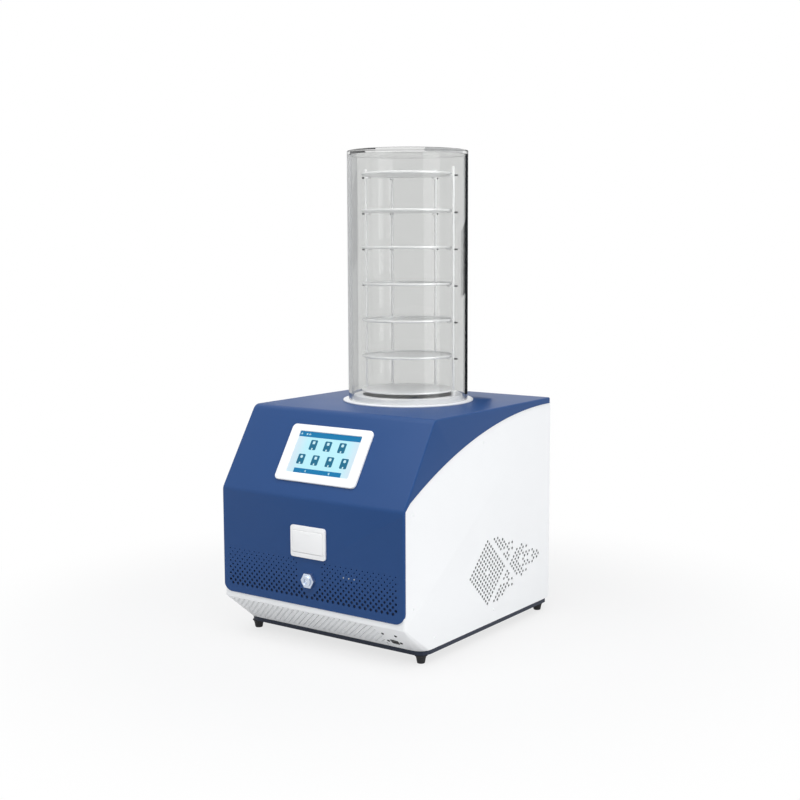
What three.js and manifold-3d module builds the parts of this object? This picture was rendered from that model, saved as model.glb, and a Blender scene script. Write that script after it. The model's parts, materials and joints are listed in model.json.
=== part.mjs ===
// Bench-top freeze dryer: cabinet with cold trap, acrylic drying chamber and six-tray rack.
// Millimetres, +Z up, +X to the operator's right, the front faces -Y.
// The origin is on the floor under the middle of the machine's outline.

import * as THREE from 'three';
import { mergeGeometries, mergeVertices } from 'three/addons/utils/BufferGeometryUtils.js';
import Module from 'manifold-3d';

const wasm = await Module();
wasm.setup();

// ---- Cabinet ---------------------------------------------------------------------------
const BODY_WIDTH = 421; // over the cover's side flanges
const BODY_DEPTH = 510; // cover front to the rear edge of the side walls
const PORT_REACH = 38; // pump flange behind the side walls
const FOOT_HEIGHT = 16;
const STRIP_HEIGHT = 9; // base pan that shows under the white body
const CHIN_HEIGHT = 53;
const CHIN_SETBACK = 59; // how far the chin slants back
const CHIN_FOOT_RADIUS = 24; // plan radius of the chin's corners at its foot
const CHIN_TOP_RADIUS = 4;
const LIP_HEIGHT = 10.5; // white lip between chin and cover
const FRONT_HEIGHT = 198.5; // upright front of the cover
const SLOPE_RISE = 148.7;
const SLOPE_RUN = 95;
const COVER_SHEET = 1.5;
const COVER_BEND = 18; // outer radius of the two wide bends across the front
const COVER_EDGE_BEND = 3; // outer radius of the bends along the sides
const COVER_CORNER = 20; // rounded lower corners of the front
const COVER_REAR_INSET = 4; // cover stops this far short of the side walls' rear edge
const FLANGE_DEPTH = 11.4; // side flange below the flat top, at the rear
const FLANGE_REAR_RUN = 17.4; // straight stretch of the side flange's edge at the rear
const FLANGE_FRONT_RISE = 1.8; // flange edge above the shoulder, at the front
const FRONT_RETURN = 5; // short return of the front down its upright edges
const LAP_GAP = 0.2; // between lapped sheets
const SEAT_GAP = 0.2; // between a piece and what it rests on
const SHELL_WALL = 1.5;
const SHELL_LAP = 9; // white wall hidden behind the cover's side flange
const SHELL_POST = 12; // white frame beside the front opening
const SHELL_LAP_FRONT = 14; // white lip hidden behind the cover's front
const SHELL_REAR_CORNER = 8;
const TRAY_WALL = 2;
const TRAY_FLANGE_HEIGHT = 44;
const TRAY_GAP = 0.5;
const REAR_SHEET = 1.5;
const REAR_RECESS = 6; // rear panel inside the side walls' rear edge

// ---- Feet ------------------------------------------------------------------------------
const FOOT_TOP_RADIUS = 12;
const FOOT_BOTTOM_RADIUS = 7;
const FOOT_FLARE = 2;
const FOOT_SIDE_INSET = 18;
const FOOT_FRONT_INSET = 13;
const FOOT_REAR_INSET = 18;

// ---- Vents -----------------------------------------------------------------------------
const SLOT_COUNT = 38;
const SLOT_PITCH = 7.5;
const SLOT_WIDTH = 3;
const SLOT_LENGTH = 37.5;
const SLOT_OFFSET_X = -11.5; // the slot row sits left of the middle, clear of the sockets
const SLOT_TOP_MARGIN = 10.4;
const REAR_SLOT_ROWS = 9;
const REAR_SLOT_PITCH = 11;
const REAR_SLOT_WIDTH = 5;
const REAR_SLOT_LENGTH = 70;

// ---- Chamber, seal ring and cold trap --------------------------------------------------
const CHAMBER_SETBACK = 311; // chamber axis behind the cover's front
const CHAMBER_RADIUS = 117.2;
const CHAMBER_WALL = 8;
const CHAMBER_HEIGHT = 480;
const CHAMBER_TOP = 12;
const CHAMBER_EDGE = 1.5;
const RING_RISE = 3.3;
const RING_MARGIN = 10.8; // ring beyond the chamber's wall
const SPIGOT_RISE = 9.5;
const SPIGOT_CLEARANCE = 2.2; // spigot inside the chamber's bore
const RING_BORE = 88;
const RING_SKIRT = 110.5;
const COVER_HOLE_CLEARANCE = 1.5;
const TRAP_RADIUS = 100;
const TRAP_WALL = 1.5;
const TRAP_DEPTH = 180;
const TRAP_FLANGE_RADIUS = 124;
const DRAIN_BORE = 4.5;
const DRAIN_STUB_RADIUS = 6;
const DRAIN_STUB_LENGTH = 46;
const FOAM_RADIUS = 135;
const FOAM_FLOOR = 25;
const COIL_TUBE = 4.5;
const COIL_GAP = 2.5; // between the coil and the trap or the insulation
const COIL_TURNS = 3.5;
const COIL_PITCH = 30;
const COIL_STEPS_PER_TURN = 24;
const PORT_HEIGHT_IN_TRAP = 28; // pump pipe above the trap's floor
const PORT_BORE = 12;
const PORT_RADIUS = 14;
const PORT_FLANGE_RADIUS = 20;
const PORT_FLANGE_THICKNESS = 4;
const STAND_SHEET = 3;
const STAND_REACH = 124;
const STAND_LEG = 25;
const STAND_LEG_SHEET = 2.5;
const STAND_HOLE = 30;

// ---- Rack and trays --------------------------------------------------------------------
const TRAY_LEVELS = 6;
const TRAY_SPACING = 70;
const FIRST_TRAY_RISE = 83; // lowest tray above the seal ring
const DISH_RADIUS = 89.5;
const DISH_RIM = 5;
const DISH_SHEET = 1.2;
const DISH_BEND = 1.5;
const RACK_BASE_RADIUS = 91;
const RACK_BASE_SHEET = 3;
const ROD_CIRCLE = 95;
const ROD_RADIUS = 2.5;
const ROD_ABOVE = 15; // rod above the highest tray
const ROD_COLLAR_RADIUS = 4.5;
const ROD_COLLAR_HEIGHT = 7.5;
const ROD_DIRECTIONS = [10, 89, 145, 187]; // degrees round the chamber from +X
const PEG_RADIUS = 1.6;
const PEG_INNER = 12.5;
const PEG_OUTER = 8.5;
const PIN_CLEARANCE = 0.4;

// ---- Screen ----------------------------------------------------------------------------
const BEZEL_WIDTH = 187;
const BEZEL_HEIGHT = 113;
const BEZEL_THICKNESS = 4;
const BEZEL_CORNER = 9;
const SCREEN_WIDTH = 144;
const SCREEN_HEIGHT = 83;
const SCREEN_SHIFT = 1.8; // visible area above the bezel's middle
const SCREEN_DROP = 1.9; // bezel below the middle of the slope
const GLASS_LAP = 4;
const GLASS_THICKNESS = 1.5;
const MODULE_DEPTH = 22;
const MODULE_MARGIN = 6;

// ---- Panel printer ---------------------------------------------------------------------
const PRINTER_WIDTH = 80;
const PRINTER_HEIGHT = 58;
const PRINTER_CENTRE_RISE = 119.5; // above the cover's lower edge
const PRINTER_FLANGE = 4; // frame proud of the cover
const DOOR_PROUD = 1; // door proud of the frame
const PRINTER_WALL = 2;
const PRINTER_DEPTH = 44;
const DOOR_WIDTH = 68;
const DOOR_HEIGHT = 40;
const DOOR_SILL = 9; // printer frame below the door
const DOOR_THICKNESS = 3;
const DOOR_GAP = 0.4;
const DOOR_PIN_RADIUS = 1;
const DOOR_PIN_LENGTH = 2.5;
const PLATEN_RADIUS = 4;
const PLATEN_LENGTH = 54;
const PLATEN_RISE = 31;
const PLATEN_SETBACK = 8;
const PLATEN_AXLE = 1.5;
const PLATEN_EAR = 2;
const PAPER_RADIUS = 15.5;
const PAPER_WIDTH = 57;
const PAPER_CORE = 6;

// ---- Drain -----------------------------------------------------------------------------
const DRAIN_RISE = 49.5; // drain fitting above the cover's lower edge
const DRAIN_HEX = 30; // across corners
const DRAIN_HEX_THICKNESS = 7;
const DRAIN_COLLAR = 10;
const DRAIN_COLLAR_PROUD = 11;
const DRAIN_SHANK = 8;
const DRAIN_SHANK_LENGTH = 28;
const BARB_RADIUS = 6;
const BARB_LENGTH = 17;
const HOSE_BORE = 6.9;
const HOSE_RADIUS = 9;
const NUT_HEX = 27;
const NUT_THICKNESS = 5;

// ---- Refrigeration ---------------------------------------------------------------------
const COMPRESSOR_X = -75;
const COMPRESSOR_BEHIND_TRAP = 23;
const COMPRESSOR_RADIUS = 60;
const COMPRESSOR_HEIGHT = 165;
const COMPRESSOR_TOP_LIP = 45; // domed crown below the can's top
const COMPRESSOR_BASE_LIP = 32; // domed base above the can's foot
const COMPRESSOR_STUB_RISE = 119;
const COMPRESSOR_PLATE = 118;
const COMPRESSOR_PLATE_SHEET = 2.5;
const GROMMET_HEIGHT = 11.5;
const GROMMET_RADIUS = 7;
const GROMMET_INSET = 9;
const GROMMET_GROOVE = 1.5;
const STUB_RADIUS = 5;
const STUB_LENGTH = 8;
const CONDENSER_GAP = 13; // from the side wall
const CONDENSER_THICKNESS = 28;
const CONDENSER_WIDTH = 174;
const CONDENSER_HEIGHT = 170;
const CONDENSER_LIFT = 18; // fins above the pan's floor
const CONDENSER_SHIFT = -5; // middle of the condenser from the trap axis
const FIN_COUNT = 8;
const FIN_SHEET = 1;
const PASS_COUNT = 4;
const PASS_RADIUS = 4;
const PASS_MARGIN = 14;
const PASS_END = 7;
const SHROUD_DEPTH = 8;
const SHROUD_SHEET = 2;
const SHROUD_HOLE = 79;
const SHROUD_COLLAR = 12;
const STRAP_WIDTH = 16;
const STRAP_SHEET = 3;
const STRAP_SETBACK = 26;
const FAN_RADIUS = 74;
const FAN_HUB_RADIUS = 20;
const FAN_HUB_LENGTH = 24;
const FAN_HUB_GAP = 2; // hub in front of the strap
const FAN_BLADES = 5;
const FAN_BLADE_SHEET = 2;
const FAN_BLADE_WIDTH = 40;
const FAN_BLADE_PITCH = 27; // degrees
const FAN_BLADE_ROOT = 0.64; // root width as a share of the blade's widest part
const FAN_BLADE_TIP = 0.78; // width near the tip, likewise
const MOTOR_RADIUS = 28;
const MOTOR_LENGTH = 27;
const SHAFT_RADIUS = 3;
const SHAFT_LENGTH = 20;
const DRIER_RADIUS = 12;
const DRIER_LENGTH = 90;
const DRIER_X = 150;
const DRIER_BEHIND_TRAP = 133;
const DRIER_LIFT = 42;
const LINE_RADIUS = 4;
const CAPILLARY_RADIUS = 2;
const LINE_GAP = 0.3;

// ---- Electrics -------------------------------------------------------------------------
const PLATE_WALL_GAP = 33; // electronics plate from the pan's side wall
const PLATE_WIDTH = 125;
const PLATE_HEIGHT = 205;
const PLATE_FOOT = 42;
const PLATE_SHEET = 1.5;
const PLATE_FRONT_GAP = 14.2;
const BOARD_WIDTH = 115;
const BOARD_HEIGHT = 112;
const BOARD_SHEET = 1.6;
const BOARD_STANDOFF = 6;
const BOARD_LIFT = 84;
const SUPPLY_WIDTH = 95;
const SUPPLY_HEIGHT = 55;
const SUPPLY_DEPTH = 38;
const SUPPLY_LIFT = 12;
const INLET_X = -150;
const INLET_LIFT = 55; // rear sockets above the white body's foot
const INLET_WIDTH = 48;
const INLET_HEIGHT = 28;
const INLET_BODY_WIDTH = 28;
const INLET_BODY_HEIGHT = 21;
const INLET_DEPTH = 24;
const INLET_RECESS = 17;
const INLET_PIN_SHEET = 2;
const INLET_PIN_HEIGHT = 5;
const INLET_PIN_REACH = 13;
const INLET_PINS = [[-7, -2], [0, 3], [7, -2]]; // [across, up] from the socket's middle
const SWITCH_X = -100;
const SWITCH_WIDTH = 22;
const SWITCH_HEIGHT = 31;
const SWITCH_DEPTH = 18;
const SWITCH_WALL = 2;
const SWITCH_WELL_DEPTH = 9;
const ROCKER_GAP = 1.2; // rocker's ends from the well's walls
const ROCKER_PROFILE = [3.4, 1.4, 2.4, 1.6, 4.2]; // rim, dip, corner, flank and keel from the pivot
const FLANGE_SHEET = 2;
const ROCKER_TILT = 8; // degrees either side of level
const ROCKER_PIN = 1.4;
const SOCKET_X = 161; // socket on the chin
const SOCKET_RISE = 24; // up the chin from its foot
const SOCKET_WIDTH = 15;
const SOCKET_HEIGHT = 7.5;
const SOCKET_DEPTH = 14;
const SOCKET_PLATE_WIDTH = 40;
const SOCKET_PLATE_HEIGHT = 14;
const SOCKET_RIM = 1.5;
const SOCKET_FLOOR = 3;
const SOCKET_TONGUE = 1.2;
const GAUGE_RADIUS = 9;
const GAUGE_LENGTH = 50;
const GAUGE_BEHIND_TRAP = 160;

// ---- Worked-out places -----------------------------------------------------------------
const FRONT_Y = (DRAIN_COLLAR_PROUD - BODY_DEPTH - PORT_REACH) / 2;
const REAR_Y = FRONT_Y + BODY_DEPTH;
const HALF_WIDTH = BODY_WIDTH / 2;
const SHELL_FOOT_Z = FOOT_HEIGHT + STRIP_HEIGHT;
const CHIN_TOP_Z = SHELL_FOOT_Z + CHIN_HEIGHT;
const COVER_FOOT_Z = CHIN_TOP_Z + LIP_HEIGHT;
const SHOULDER_Z = COVER_FOOT_Z + FRONT_HEIGHT;
const TOP_Z = SHOULDER_Z + SLOPE_RISE;
const COVER_REAR_Y = REAR_Y - COVER_REAR_INSET;
const SHELL_HALF = HALF_WIDTH - COVER_SHEET - LAP_GAP;
const SHELL_FRONT_Y = FRONT_Y + COVER_SHEET + LAP_GAP;
const REAR_PANEL_Y = REAR_Y - REAR_RECESS; // outer face
const REAR_INNER_Y = REAR_PANEL_Y - REAR_SHEET;
const PAN_FLOOR_Z = FOOT_HEIGHT + TRAY_WALL;
const ON_PAN_Z = PAN_FLOOR_Z + SEAT_GAP;
const TRAP_Y = FRONT_Y + CHAMBER_SETBACK;
const RING_TOP_Z = TOP_Z + RING_RISE;
const SPIGOT_TOP_Z = RING_TOP_Z + SPIGOT_RISE;
const CHAMBER_BORE = CHAMBER_RADIUS - CHAMBER_WALL;
const RING_RADIUS = CHAMBER_RADIUS + RING_MARGIN;
const TRAP_TOP_Z = TOP_Z - COVER_SHEET - SEAT_GAP;
const TRAP_FLOOR_Z = TRAP_TOP_Z - TRAP_DEPTH;
const COIL_RADIUS = TRAP_RADIUS + TRAP_WALL + COIL_GAP + COIL_TUBE;
const FOAM_BORE = COIL_RADIUS + COIL_TUBE + COIL_GAP;
const FOAM_FLOOR_Z = TRAP_FLOOR_Z - TRAP_WALL - LINE_GAP;
const STAND_TOP_Z = FOAM_FLOOR_Z - FOAM_FLOOR - SEAT_GAP;
const PORT_Z = TRAP_FLOOR_Z + PORT_HEIGHT_IN_TRAP;
const COIL_START_Z = PORT_Z + PORT_RADIUS + COIL_TUBE + 6;
const SLOPE_LENGTH = Math.hypot(SLOPE_RUN, SLOPE_RISE);
const SLOPE_TILT = Math.atan2(SLOPE_RISE, SLOPE_RUN);
const CHIN_TILT = Math.PI - Math.atan2(CHIN_HEIGHT, CHIN_SETBACK);
const CHIN_LENGTH = Math.hypot(CHIN_HEIGHT, CHIN_SETBACK);
const MANY = 1000; // longer than the machine, for cutters that run right through

const model = new THREE.Group();

// ---- Building tools --------------------------------------------------------------------

// A closed three.js geometry as a solid: shared corners merged, faces turned outwards.
function toSolid(geometry) {
  const plain = geometry.clone();
  plain.deleteAttribute('normal');
  plain.deleteAttribute('uv');
  const merged = mergeVertices(plain, 1e-4);
  const points = merged.getAttribute('position');
  const source = merged.index.array;
  const triangles = [];
  const a = new THREE.Vector3();
  const b = new THREE.Vector3();
  const c = new THREE.Vector3();
  let volume = 0;
  for (let i = 0; i < source.length; i += 3) {
    const [p, q, r] = [source[i], source[i + 1], source[i + 2]];
    if (p !== q && q !== r && r !== p) {
      triangles.push([p, q, r]);
      a.fromBufferAttribute(points, p);
      b.fromBufferAttribute(points, q);
      c.fromBufferAttribute(points, r);
      volume += a.dot(b.cross(c));
    }
  }
  const turned = volume < 0 ? triangles.map(([p, q, r]) => [p, r, q]) : triangles;
  return new wasm.Manifold(new wasm.Mesh({
    numProp: 3,
    vertProperties: new Float32Array(points.array),
    triVerts: new Uint32Array(turned.flat()),
  }));
}

function toGeometry(solid) {
  const mesh = solid.getMesh();
  const geometry = new THREE.BufferGeometry();
  geometry.setAttribute('position', new THREE.BufferAttribute(mesh.vertProperties, 3));
  geometry.setIndex(new THREE.BufferAttribute(mesh.triVerts, 1));
  geometry.computeVertexNormals();
  return geometry;
}

function paint(color, roughness, metalness) {
  return new THREE.MeshStandardMaterial({ color, roughness, metalness });
}

// Adds a finished solid to the model, or to the turned group that carries it.
function addPart(name, solid, material, carrier = model) {
  const mesh = new THREE.Mesh(toGeometry(solid), material);
  mesh.name = name;
  carrier.add(mesh);
  return mesh;
}

function join(...solids) {
  return solids.reduce((whole, piece) => whole.add(piece));
}

function box(x0, x1, y0, y1, z0, z1) {
  const geometry = new THREE.BoxGeometry(x1 - x0, y1 - y0, z1 - z0);
  geometry.translate((x0 + x1) / 2, (y0 + y1) / 2, (z0 + z1) / 2);
  return toSolid(geometry);
}

// Turns a form built along local Z so that it runs along a chosen axis.
const X_AXIS = new THREE.Vector3(1, 0, 0);
const Y_AXIS = new THREE.Vector3(0, 1, 0);
const Z_AXIS = new THREE.Vector3(0, 0, 1);
const ALONG = {
  x: new THREE.Matrix4().makeBasis(Y_AXIS, Z_AXIS, X_AXIS),
  y: new THREE.Matrix4().makeBasis(Z_AXIS, X_AXIS, Y_AXIS),
  z: new THREE.Matrix4(),
};

// Prism of a flat outline. Outline axes: (y, z) along x, (z, x) along y, (x, y) along z.
function prism(axis, outline, low, high) {
  const shape = outline instanceof THREE.Shape ? outline : new THREE.Shape(outline);
  const geometry = new THREE.ExtrudeGeometry(shape, {
    depth: high - low,
    bevelEnabled: false,
    steps: 1,
    curveSegments: 6,
  });
  geometry.translate(0, 0, low);
  geometry.applyMatrix4(ALONG[axis]);
  return toSolid(geometry);
}

// Round bar along an axis. Its centre is given in the prism's outline axes.
function bar(axis, radius, low, high, [u, v], sides = 16) {
  const geometry = new THREE.CylinderGeometry(radius, radius, high - low, sides);
  geometry.rotateX(Math.PI / 2);
  geometry.translate(u, v, (low + high) / 2);
  geometry.applyMatrix4(ALONG[axis]);
  return toSolid(geometry);
}

// Turned piece: a closed outline of [radius, height] points spun about a vertical axis.
function turned(outline, segments, x = 0, y = 0) {
  const points = outline.map(([radius, height]) => new THREE.Vector2(radius, height));
  const [firstRadius] = outline[0];
  const [lastRadius] = outline[outline.length - 1];
  if (firstRadius > 0 || lastRadius > 0) {
    points.push(points[0].clone());
  }
  const geometry = new THREE.LatheGeometry(points, segments);
  geometry.rotateX(Math.PI / 2);
  geometry.translate(x, y, 0);
  return toSolid(geometry);
}

// Straight-sided loft through loops that all have the same number of points.
function loft(loops, flatten) {
  const count = loops[0].length;
  const positions = loops.flat().flatMap((point) => [point.x, point.y, point.z]);
  const index = [];
  for (let s = 0; s + 1 < loops.length; s += 1) {
    for (let i = 0; i < count; i += 1) {
      const j = (i + 1) % count;
      index.push(s * count + i, s * count + j, (s + 1) * count + j);
      index.push(s * count + i, (s + 1) * count + j, (s + 1) * count + i);
    }
  }
  const lastStart = (loops.length - 1) * count;
  [[loops[0], 0, true], [loops[loops.length - 1], lastStart, false]].forEach(([loop, start, flip]) => {
    const flat = loop.map(flatten);
    const windsLeft = THREE.ShapeUtils.area(flat) > 0;
    THREE.ShapeUtils.triangulateShape(flat, []).forEach(([p, q, r]) => {
      const sameWay = (THREE.ShapeUtils.area([flat[p], flat[q], flat[r]]) > 0) === windsLeft;
      const face = sameWay !== flip ? [p, q, r] : [p, r, q];
      index.push(...face.map((corner) => corner + start));
    });
  });
  const geometry = new THREE.BufferGeometry();
  geometry.setAttribute('position', new THREE.Float32BufferAttribute(positions, 3));
  geometry.setIndex(index);
  return toSolid(geometry);
}

// Outline with rounded corners. Each corner is [x, y, radius]; a radius is limited by its edges.
function rounded(corners, steps = 5) {
  const points = [];
  corners.forEach(([x, y, radius = 0], i) => {
    const corner = new THREE.Vector2(x, y);
    if (radius === 0) {
      points.push(corner);
      return;
    }
    const before = corners[(i + corners.length - 1) % corners.length];
    const after = corners[(i + 1) % corners.length];
    const back = new THREE.Vector2(before[0] - x, before[1] - y);
    const ahead = new THREE.Vector2(after[0] - x, after[1] - y);
    const half = Math.abs(Math.acos(back.dot(ahead) / (back.length() * ahead.length()))) / 2;
    const limit = Math.min(back.length(), ahead.length()) / 2;
    const reach = Math.min(radius / Math.tan(half), limit);
    const trueRadius = reach * Math.tan(half);
    const middle = back.clone().normalize().add(ahead.clone().normalize()).normalize();
    const centre = corner.clone().addScaledVector(middle, trueRadius / Math.sin(half));
    const start = corner.clone().addScaledVector(back.normalize(), reach).sub(centre);
    const end = corner.clone().addScaledVector(ahead.normalize(), reach).sub(centre);
    let sweep = end.angle() - start.angle();
    if (sweep > Math.PI) sweep -= 2 * Math.PI;
    if (sweep < -Math.PI) sweep += 2 * Math.PI;
    for (let k = 0; k <= steps; k += 1) {
      points.push(start.clone().rotateAround(new THREE.Vector2(), (sweep * k) / steps).add(centre));
    }
  });
  return points;
}

function rectangle(width, height, radius = 0, u = 0, v = 0, steps = 4) {
  return rounded([
    [u - width / 2, v - height / 2, radius],
    [u + width / 2, v - height / 2, radius],
    [u + width / 2, v + height / 2, radius],
    [u - width / 2, v + height / 2, radius],
  ], steps);
}

// Regular outline with a corner on the first outline axis.
function polygon(sides, radius, u = 0, v = 0) {
  return Array.from({ length: sides }, (_, i) => {
    const angle = (2 * Math.PI * i) / sides;
    return new THREE.Vector2(u + radius * Math.cos(angle), v + radius * Math.sin(angle));
  });
}

// Round tube along a curve, solid or with a bore.
function tube(curve, radius, steps, sides = 8, bore = 0) {
  const shape = new THREE.Shape(polygon(sides, radius));
  if (bore > 0) {
    shape.holes.push(new THREE.Path(polygon(sides, bore).reverse()));
  }
  const geometry = new THREE.ExtrudeGeometry(shape, { steps, extrudePath: curve, bevelEnabled: false });
  return toSolid(geometry);
}

function route(...points) {
  return new THREE.CatmullRomCurve3(points.map((point) => new THREE.Vector3(...point)));
}

// Many equal prisms as one cutter.
function prismField(outline, placements, depth) {
  const shape = new THREE.Shape(outline);
  const unit = new THREE.ExtrudeGeometry(shape, { depth, bevelEnabled: false, steps: 1 });
  const copies = placements.map((matrix) => unit.clone().applyMatrix4(matrix));
  return toSolid(mergeGeometries(copies));
}

// ---- Finishes --------------------------------------------------------------------------
const coverBlue = paint(0x3a5a94, 0.4, 0.1);
const shellWhite = paint(0xf2f3f3, 0.45, 0);
const baseDark = paint(0x2b3040, 0.5, 0.3);
const rubberBlack = paint(0x17181b, 0.8, 0);
const sealWhite = paint(0xf4f5f6, 0.5, 0);
const clearAcrylic = paint(0xdfe6e6, 0.05, 0);
const stainless = paint(0xc9cccf, 0.25, 0.9);
const bezelWhite = paint(0xf6f7f8, 0.35, 0);
const glassCyan = paint(0xcdeff8, 0.08, 0);
const moduleGrey = paint(0x8b9096, 0.5, 0.6);
const printerWhite = paint(0xf1efea, 0.45, 0);
const paperWhite = paint(0xfbfaf5, 0.9, 0);
const nickel = paint(0xd5d9dc, 0.25, 0.9);
const hoseClear = paint(0xd9dcd6, 0.5, 0);
const foamCream = paint(0xe8ddb8, 0.9, 0);
const copper = paint(0xb87048, 0.35, 0.9);
const compressorBlack = paint(0x1d1f22, 0.5, 0.2);
const galvanised = paint(0xaeb4b8, 0.5, 0.7);
const finAluminium = paint(0xc2c6c8, 0.4, 0.8);
const plasticBlack = paint(0x1b1c1f, 0.5, 0);
const boardGreen = paint(0x1f6b45, 0.5, 0);

// ---- Cabinet ---------------------------------------------------------------------------

// Side view of the cover, moved inwards by an inset. Points are [y, z].
function coverProfile(inset, footZ, rearFootZ) {
  const normalY = SLOPE_RISE / SLOPE_LENGTH;
  const normalZ = -SLOPE_RUN / SLOPE_LENGTH;
  const startY = FRONT_Y + inset * normalY;
  const startZ = SHOULDER_Z + inset * normalZ;
  const steepness = SLOPE_RISE / SLOPE_RUN;
  const frontY = FRONT_Y + inset;
  const topZ = TOP_Z - inset;
  const rearY = COVER_REAR_Y - inset;
  const shoulderZ = startZ + (frontY - startY) * steepness;
  const topFrontY = startY + (topZ - startZ) / steepness;
  const wide = Math.max(COVER_BEND - inset, 0.5);
  const tight = Math.max(COVER_EDGE_BEND - inset, 0.5);
  return rounded([
    [frontY, footZ],
    [frontY, shoulderZ, wide],
    [topFrontY, topZ, wide],
    [rearY, topZ, tight],
    [rearY, rearFootZ],
  ]);
}

// The cover's outer or inner form, with bends of its own along both sides.
function coverForm(inset, footZ) {
  const steps = 4;
  const bend = COVER_EDGE_BEND - inset;
  const sections = [];
  [-1, 1].forEach((side) => {
    for (let k = 0; k <= steps; k += 1) {
      const angle = ((side < 0 ? k : steps - k) / steps) * (Math.PI / 2);
      sections.push({
        x: side * (HALF_WIDTH - inset - bend * (1 - Math.cos(angle))),
        drop: inset + bend * (1 - Math.sin(angle)),
      });
    }
  });
  return sections.map(({ x, drop }) => (
    coverProfile(drop, footZ, footZ).map((point) => new THREE.Vector3(x, point.x, point.y))
  ));
}

// Lower edge of the cover's side flange: one wide arc, level at the rear. Points are [y, z].
const FLANGE_Z = TOP_Z - FLANGE_DEPTH;
const FLANGE_LEVEL_Y = REAR_Y - FLANGE_REAR_RUN;
function flangeArc(lift, steps = 24) {
  const run = FLANGE_LEVEL_Y - FRONT_Y;
  const fall = FLANGE_Z - SHOULDER_Z - FLANGE_FRONT_RISE;
  const radius = (run * run + fall * fall) / (2 * fall);
  const sweep = Math.asin(run / radius);
  return Array.from({ length: steps + 1 }, (_, i) => {
    const angle = sweep * (1 - i / steps);
    return [
      FLANGE_LEVEL_Y - radius * Math.sin(angle),
      FLANGE_Z + lift - radius * (1 - Math.cos(angle)),
    ];
  });
}

const slope = new THREE.Group();
slope.name = 'screen_slope';
slope.position.set(0, FRONT_Y, SHOULDER_Z);
slope.rotation.x = SLOPE_TILT;
slope.updateMatrix();
model.add(slope);

const chin = new THREE.Group();
chin.name = 'chin_slope';
chin.position.set(0, SHELL_FRONT_Y + CHIN_SETBACK, SHELL_FOOT_Z);
chin.rotation.x = CHIN_TILT;
chin.updateMatrix();
model.add(chin);

// A solid built on a turned group's own axes, taken to the machine's axes.
function onMachine(solid, group) {
  return toSolid(toGeometry(solid).applyMatrix4(group.matrix));
}

const PRINTER_Z = COVER_FOOT_Z + PRINTER_CENTRE_RISE;
const DRAIN_Z = COVER_FOOT_Z + DRAIN_RISE;
const SCREEN_U = SLOPE_LENGTH / 2 - SCREEN_DROP;
const GLASS_U = SCREEN_U + SCREEN_SHIFT;

const underFlange = prism('x', [
  ...flangeArc(0).filter(([y]) => y > FRONT_Y + FRONT_RETURN),
  [REAR_Y + COVER_BEND, FLANGE_Z],
  [REAR_Y + COVER_BEND, 0],
  [FRONT_Y + FRONT_RETURN, 0],
  [FRONT_Y + FRONT_RETURN, SHOULDER_Z],
].map(([y, z]) => new THREE.Vector2(y, z)), -HALF_WIDTH - 1, HALF_WIDTH + 1);

const frontOutline = prism('y', rounded([
  [COVER_FOOT_Z, -HALF_WIDTH, COVER_CORNER],
  [COVER_FOOT_Z, HALF_WIDTH, COVER_CORNER],
  [TOP_Z + 1, HALF_WIDTH],
  [TOP_Z + 1, -HALF_WIDTH],
], 8), -MANY, MANY);

const chamberHole = bar(
  'z',
  RING_SKIRT + COVER_HOLE_CLEARANCE,
  TOP_Z - COVER_BEND,
  TOP_Z + 1,
  [0, TRAP_Y],
  56,
);
const drainHole = bar(
  'y',
  DRAIN_SHANK + LINE_GAP,
  FRONT_Y - 1,
  FRONT_Y + COVER_BEND,
  [DRAIN_Z, 0],
  20,
);
const bodyWidth = PRINTER_WIDTH - 2 * PRINTER_FLANGE;
const bodyHeight = PRINTER_HEIGHT - 2 * PRINTER_FLANGE;
const printerHole = prism(
  'y',
  rectangle(bodyHeight + 2 * DOOR_GAP, bodyWidth + 2 * DOOR_GAP, 0, PRINTER_Z, 0),
  FRONT_Y - 1,
  FRONT_Y + COVER_BEND,
);
const screenHole = onMachine(prism(
  'z',
  rectangle(SCREEN_WIDTH + 2, SCREEN_HEIGHT + 2, 3, 0, GLASS_U),
  -COVER_BEND,
  COVER_BEND,
), slope);

const coverOuter = loft(coverForm(0, COVER_FOOT_Z), (p) => new THREE.Vector2(p.y, p.z));
const coverInner = loft(
  coverForm(COVER_SHEET, COVER_FOOT_Z - COVER_BEND),
  (p) => new THREE.Vector2(p.y, p.z),
);
const frontCover = coverOuter
  .subtract(coverInner)
  .subtract(underFlange)
  .intersect(frontOutline)
  .subtract(chamberHole)
  .subtract(drainHole)
  .subtract(printerHole)
  .subtract(screenHole);
addPart('front_cover', frontCover, coverBlue);

// White body: upright sides and a slanting chin, lofted from plan outlines.
const chinNormal = CHIN_LENGTH / CHIN_HEIGHT;
function shellPlan(half, frontY, rearY, radius, z) {
  return rounded([
    [-half, frontY, radius],
    [half, frontY, radius],
    [half, rearY],
    [-half, rearY],
  ], 8).map((point) => new THREE.Vector3(point.x, point.y, z));
}
const shellOuter = loft([
  shellPlan(SHELL_HALF, SHELL_FRONT_Y + CHIN_SETBACK, REAR_Y, CHIN_FOOT_RADIUS, SHELL_FOOT_Z),
  shellPlan(SHELL_HALF, SHELL_FRONT_Y, REAR_Y, CHIN_TOP_RADIUS, CHIN_TOP_Z),
  shellPlan(SHELL_HALF, SHELL_FRONT_Y, REAR_Y, CHIN_TOP_RADIUS, TOP_Z),
], (p) => new THREE.Vector2(p.x, p.y));
const innerHalf = SHELL_HALF - SHELL_WALL;
const innerShift = SHELL_WALL * chinNormal;
const chinKnee = (innerShift - SHELL_WALL) * (CHIN_HEIGHT / CHIN_SETBACK);
const innerFootRadius = CHIN_FOOT_RADIUS - SHELL_WALL;
const belowFoot = 1;
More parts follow.
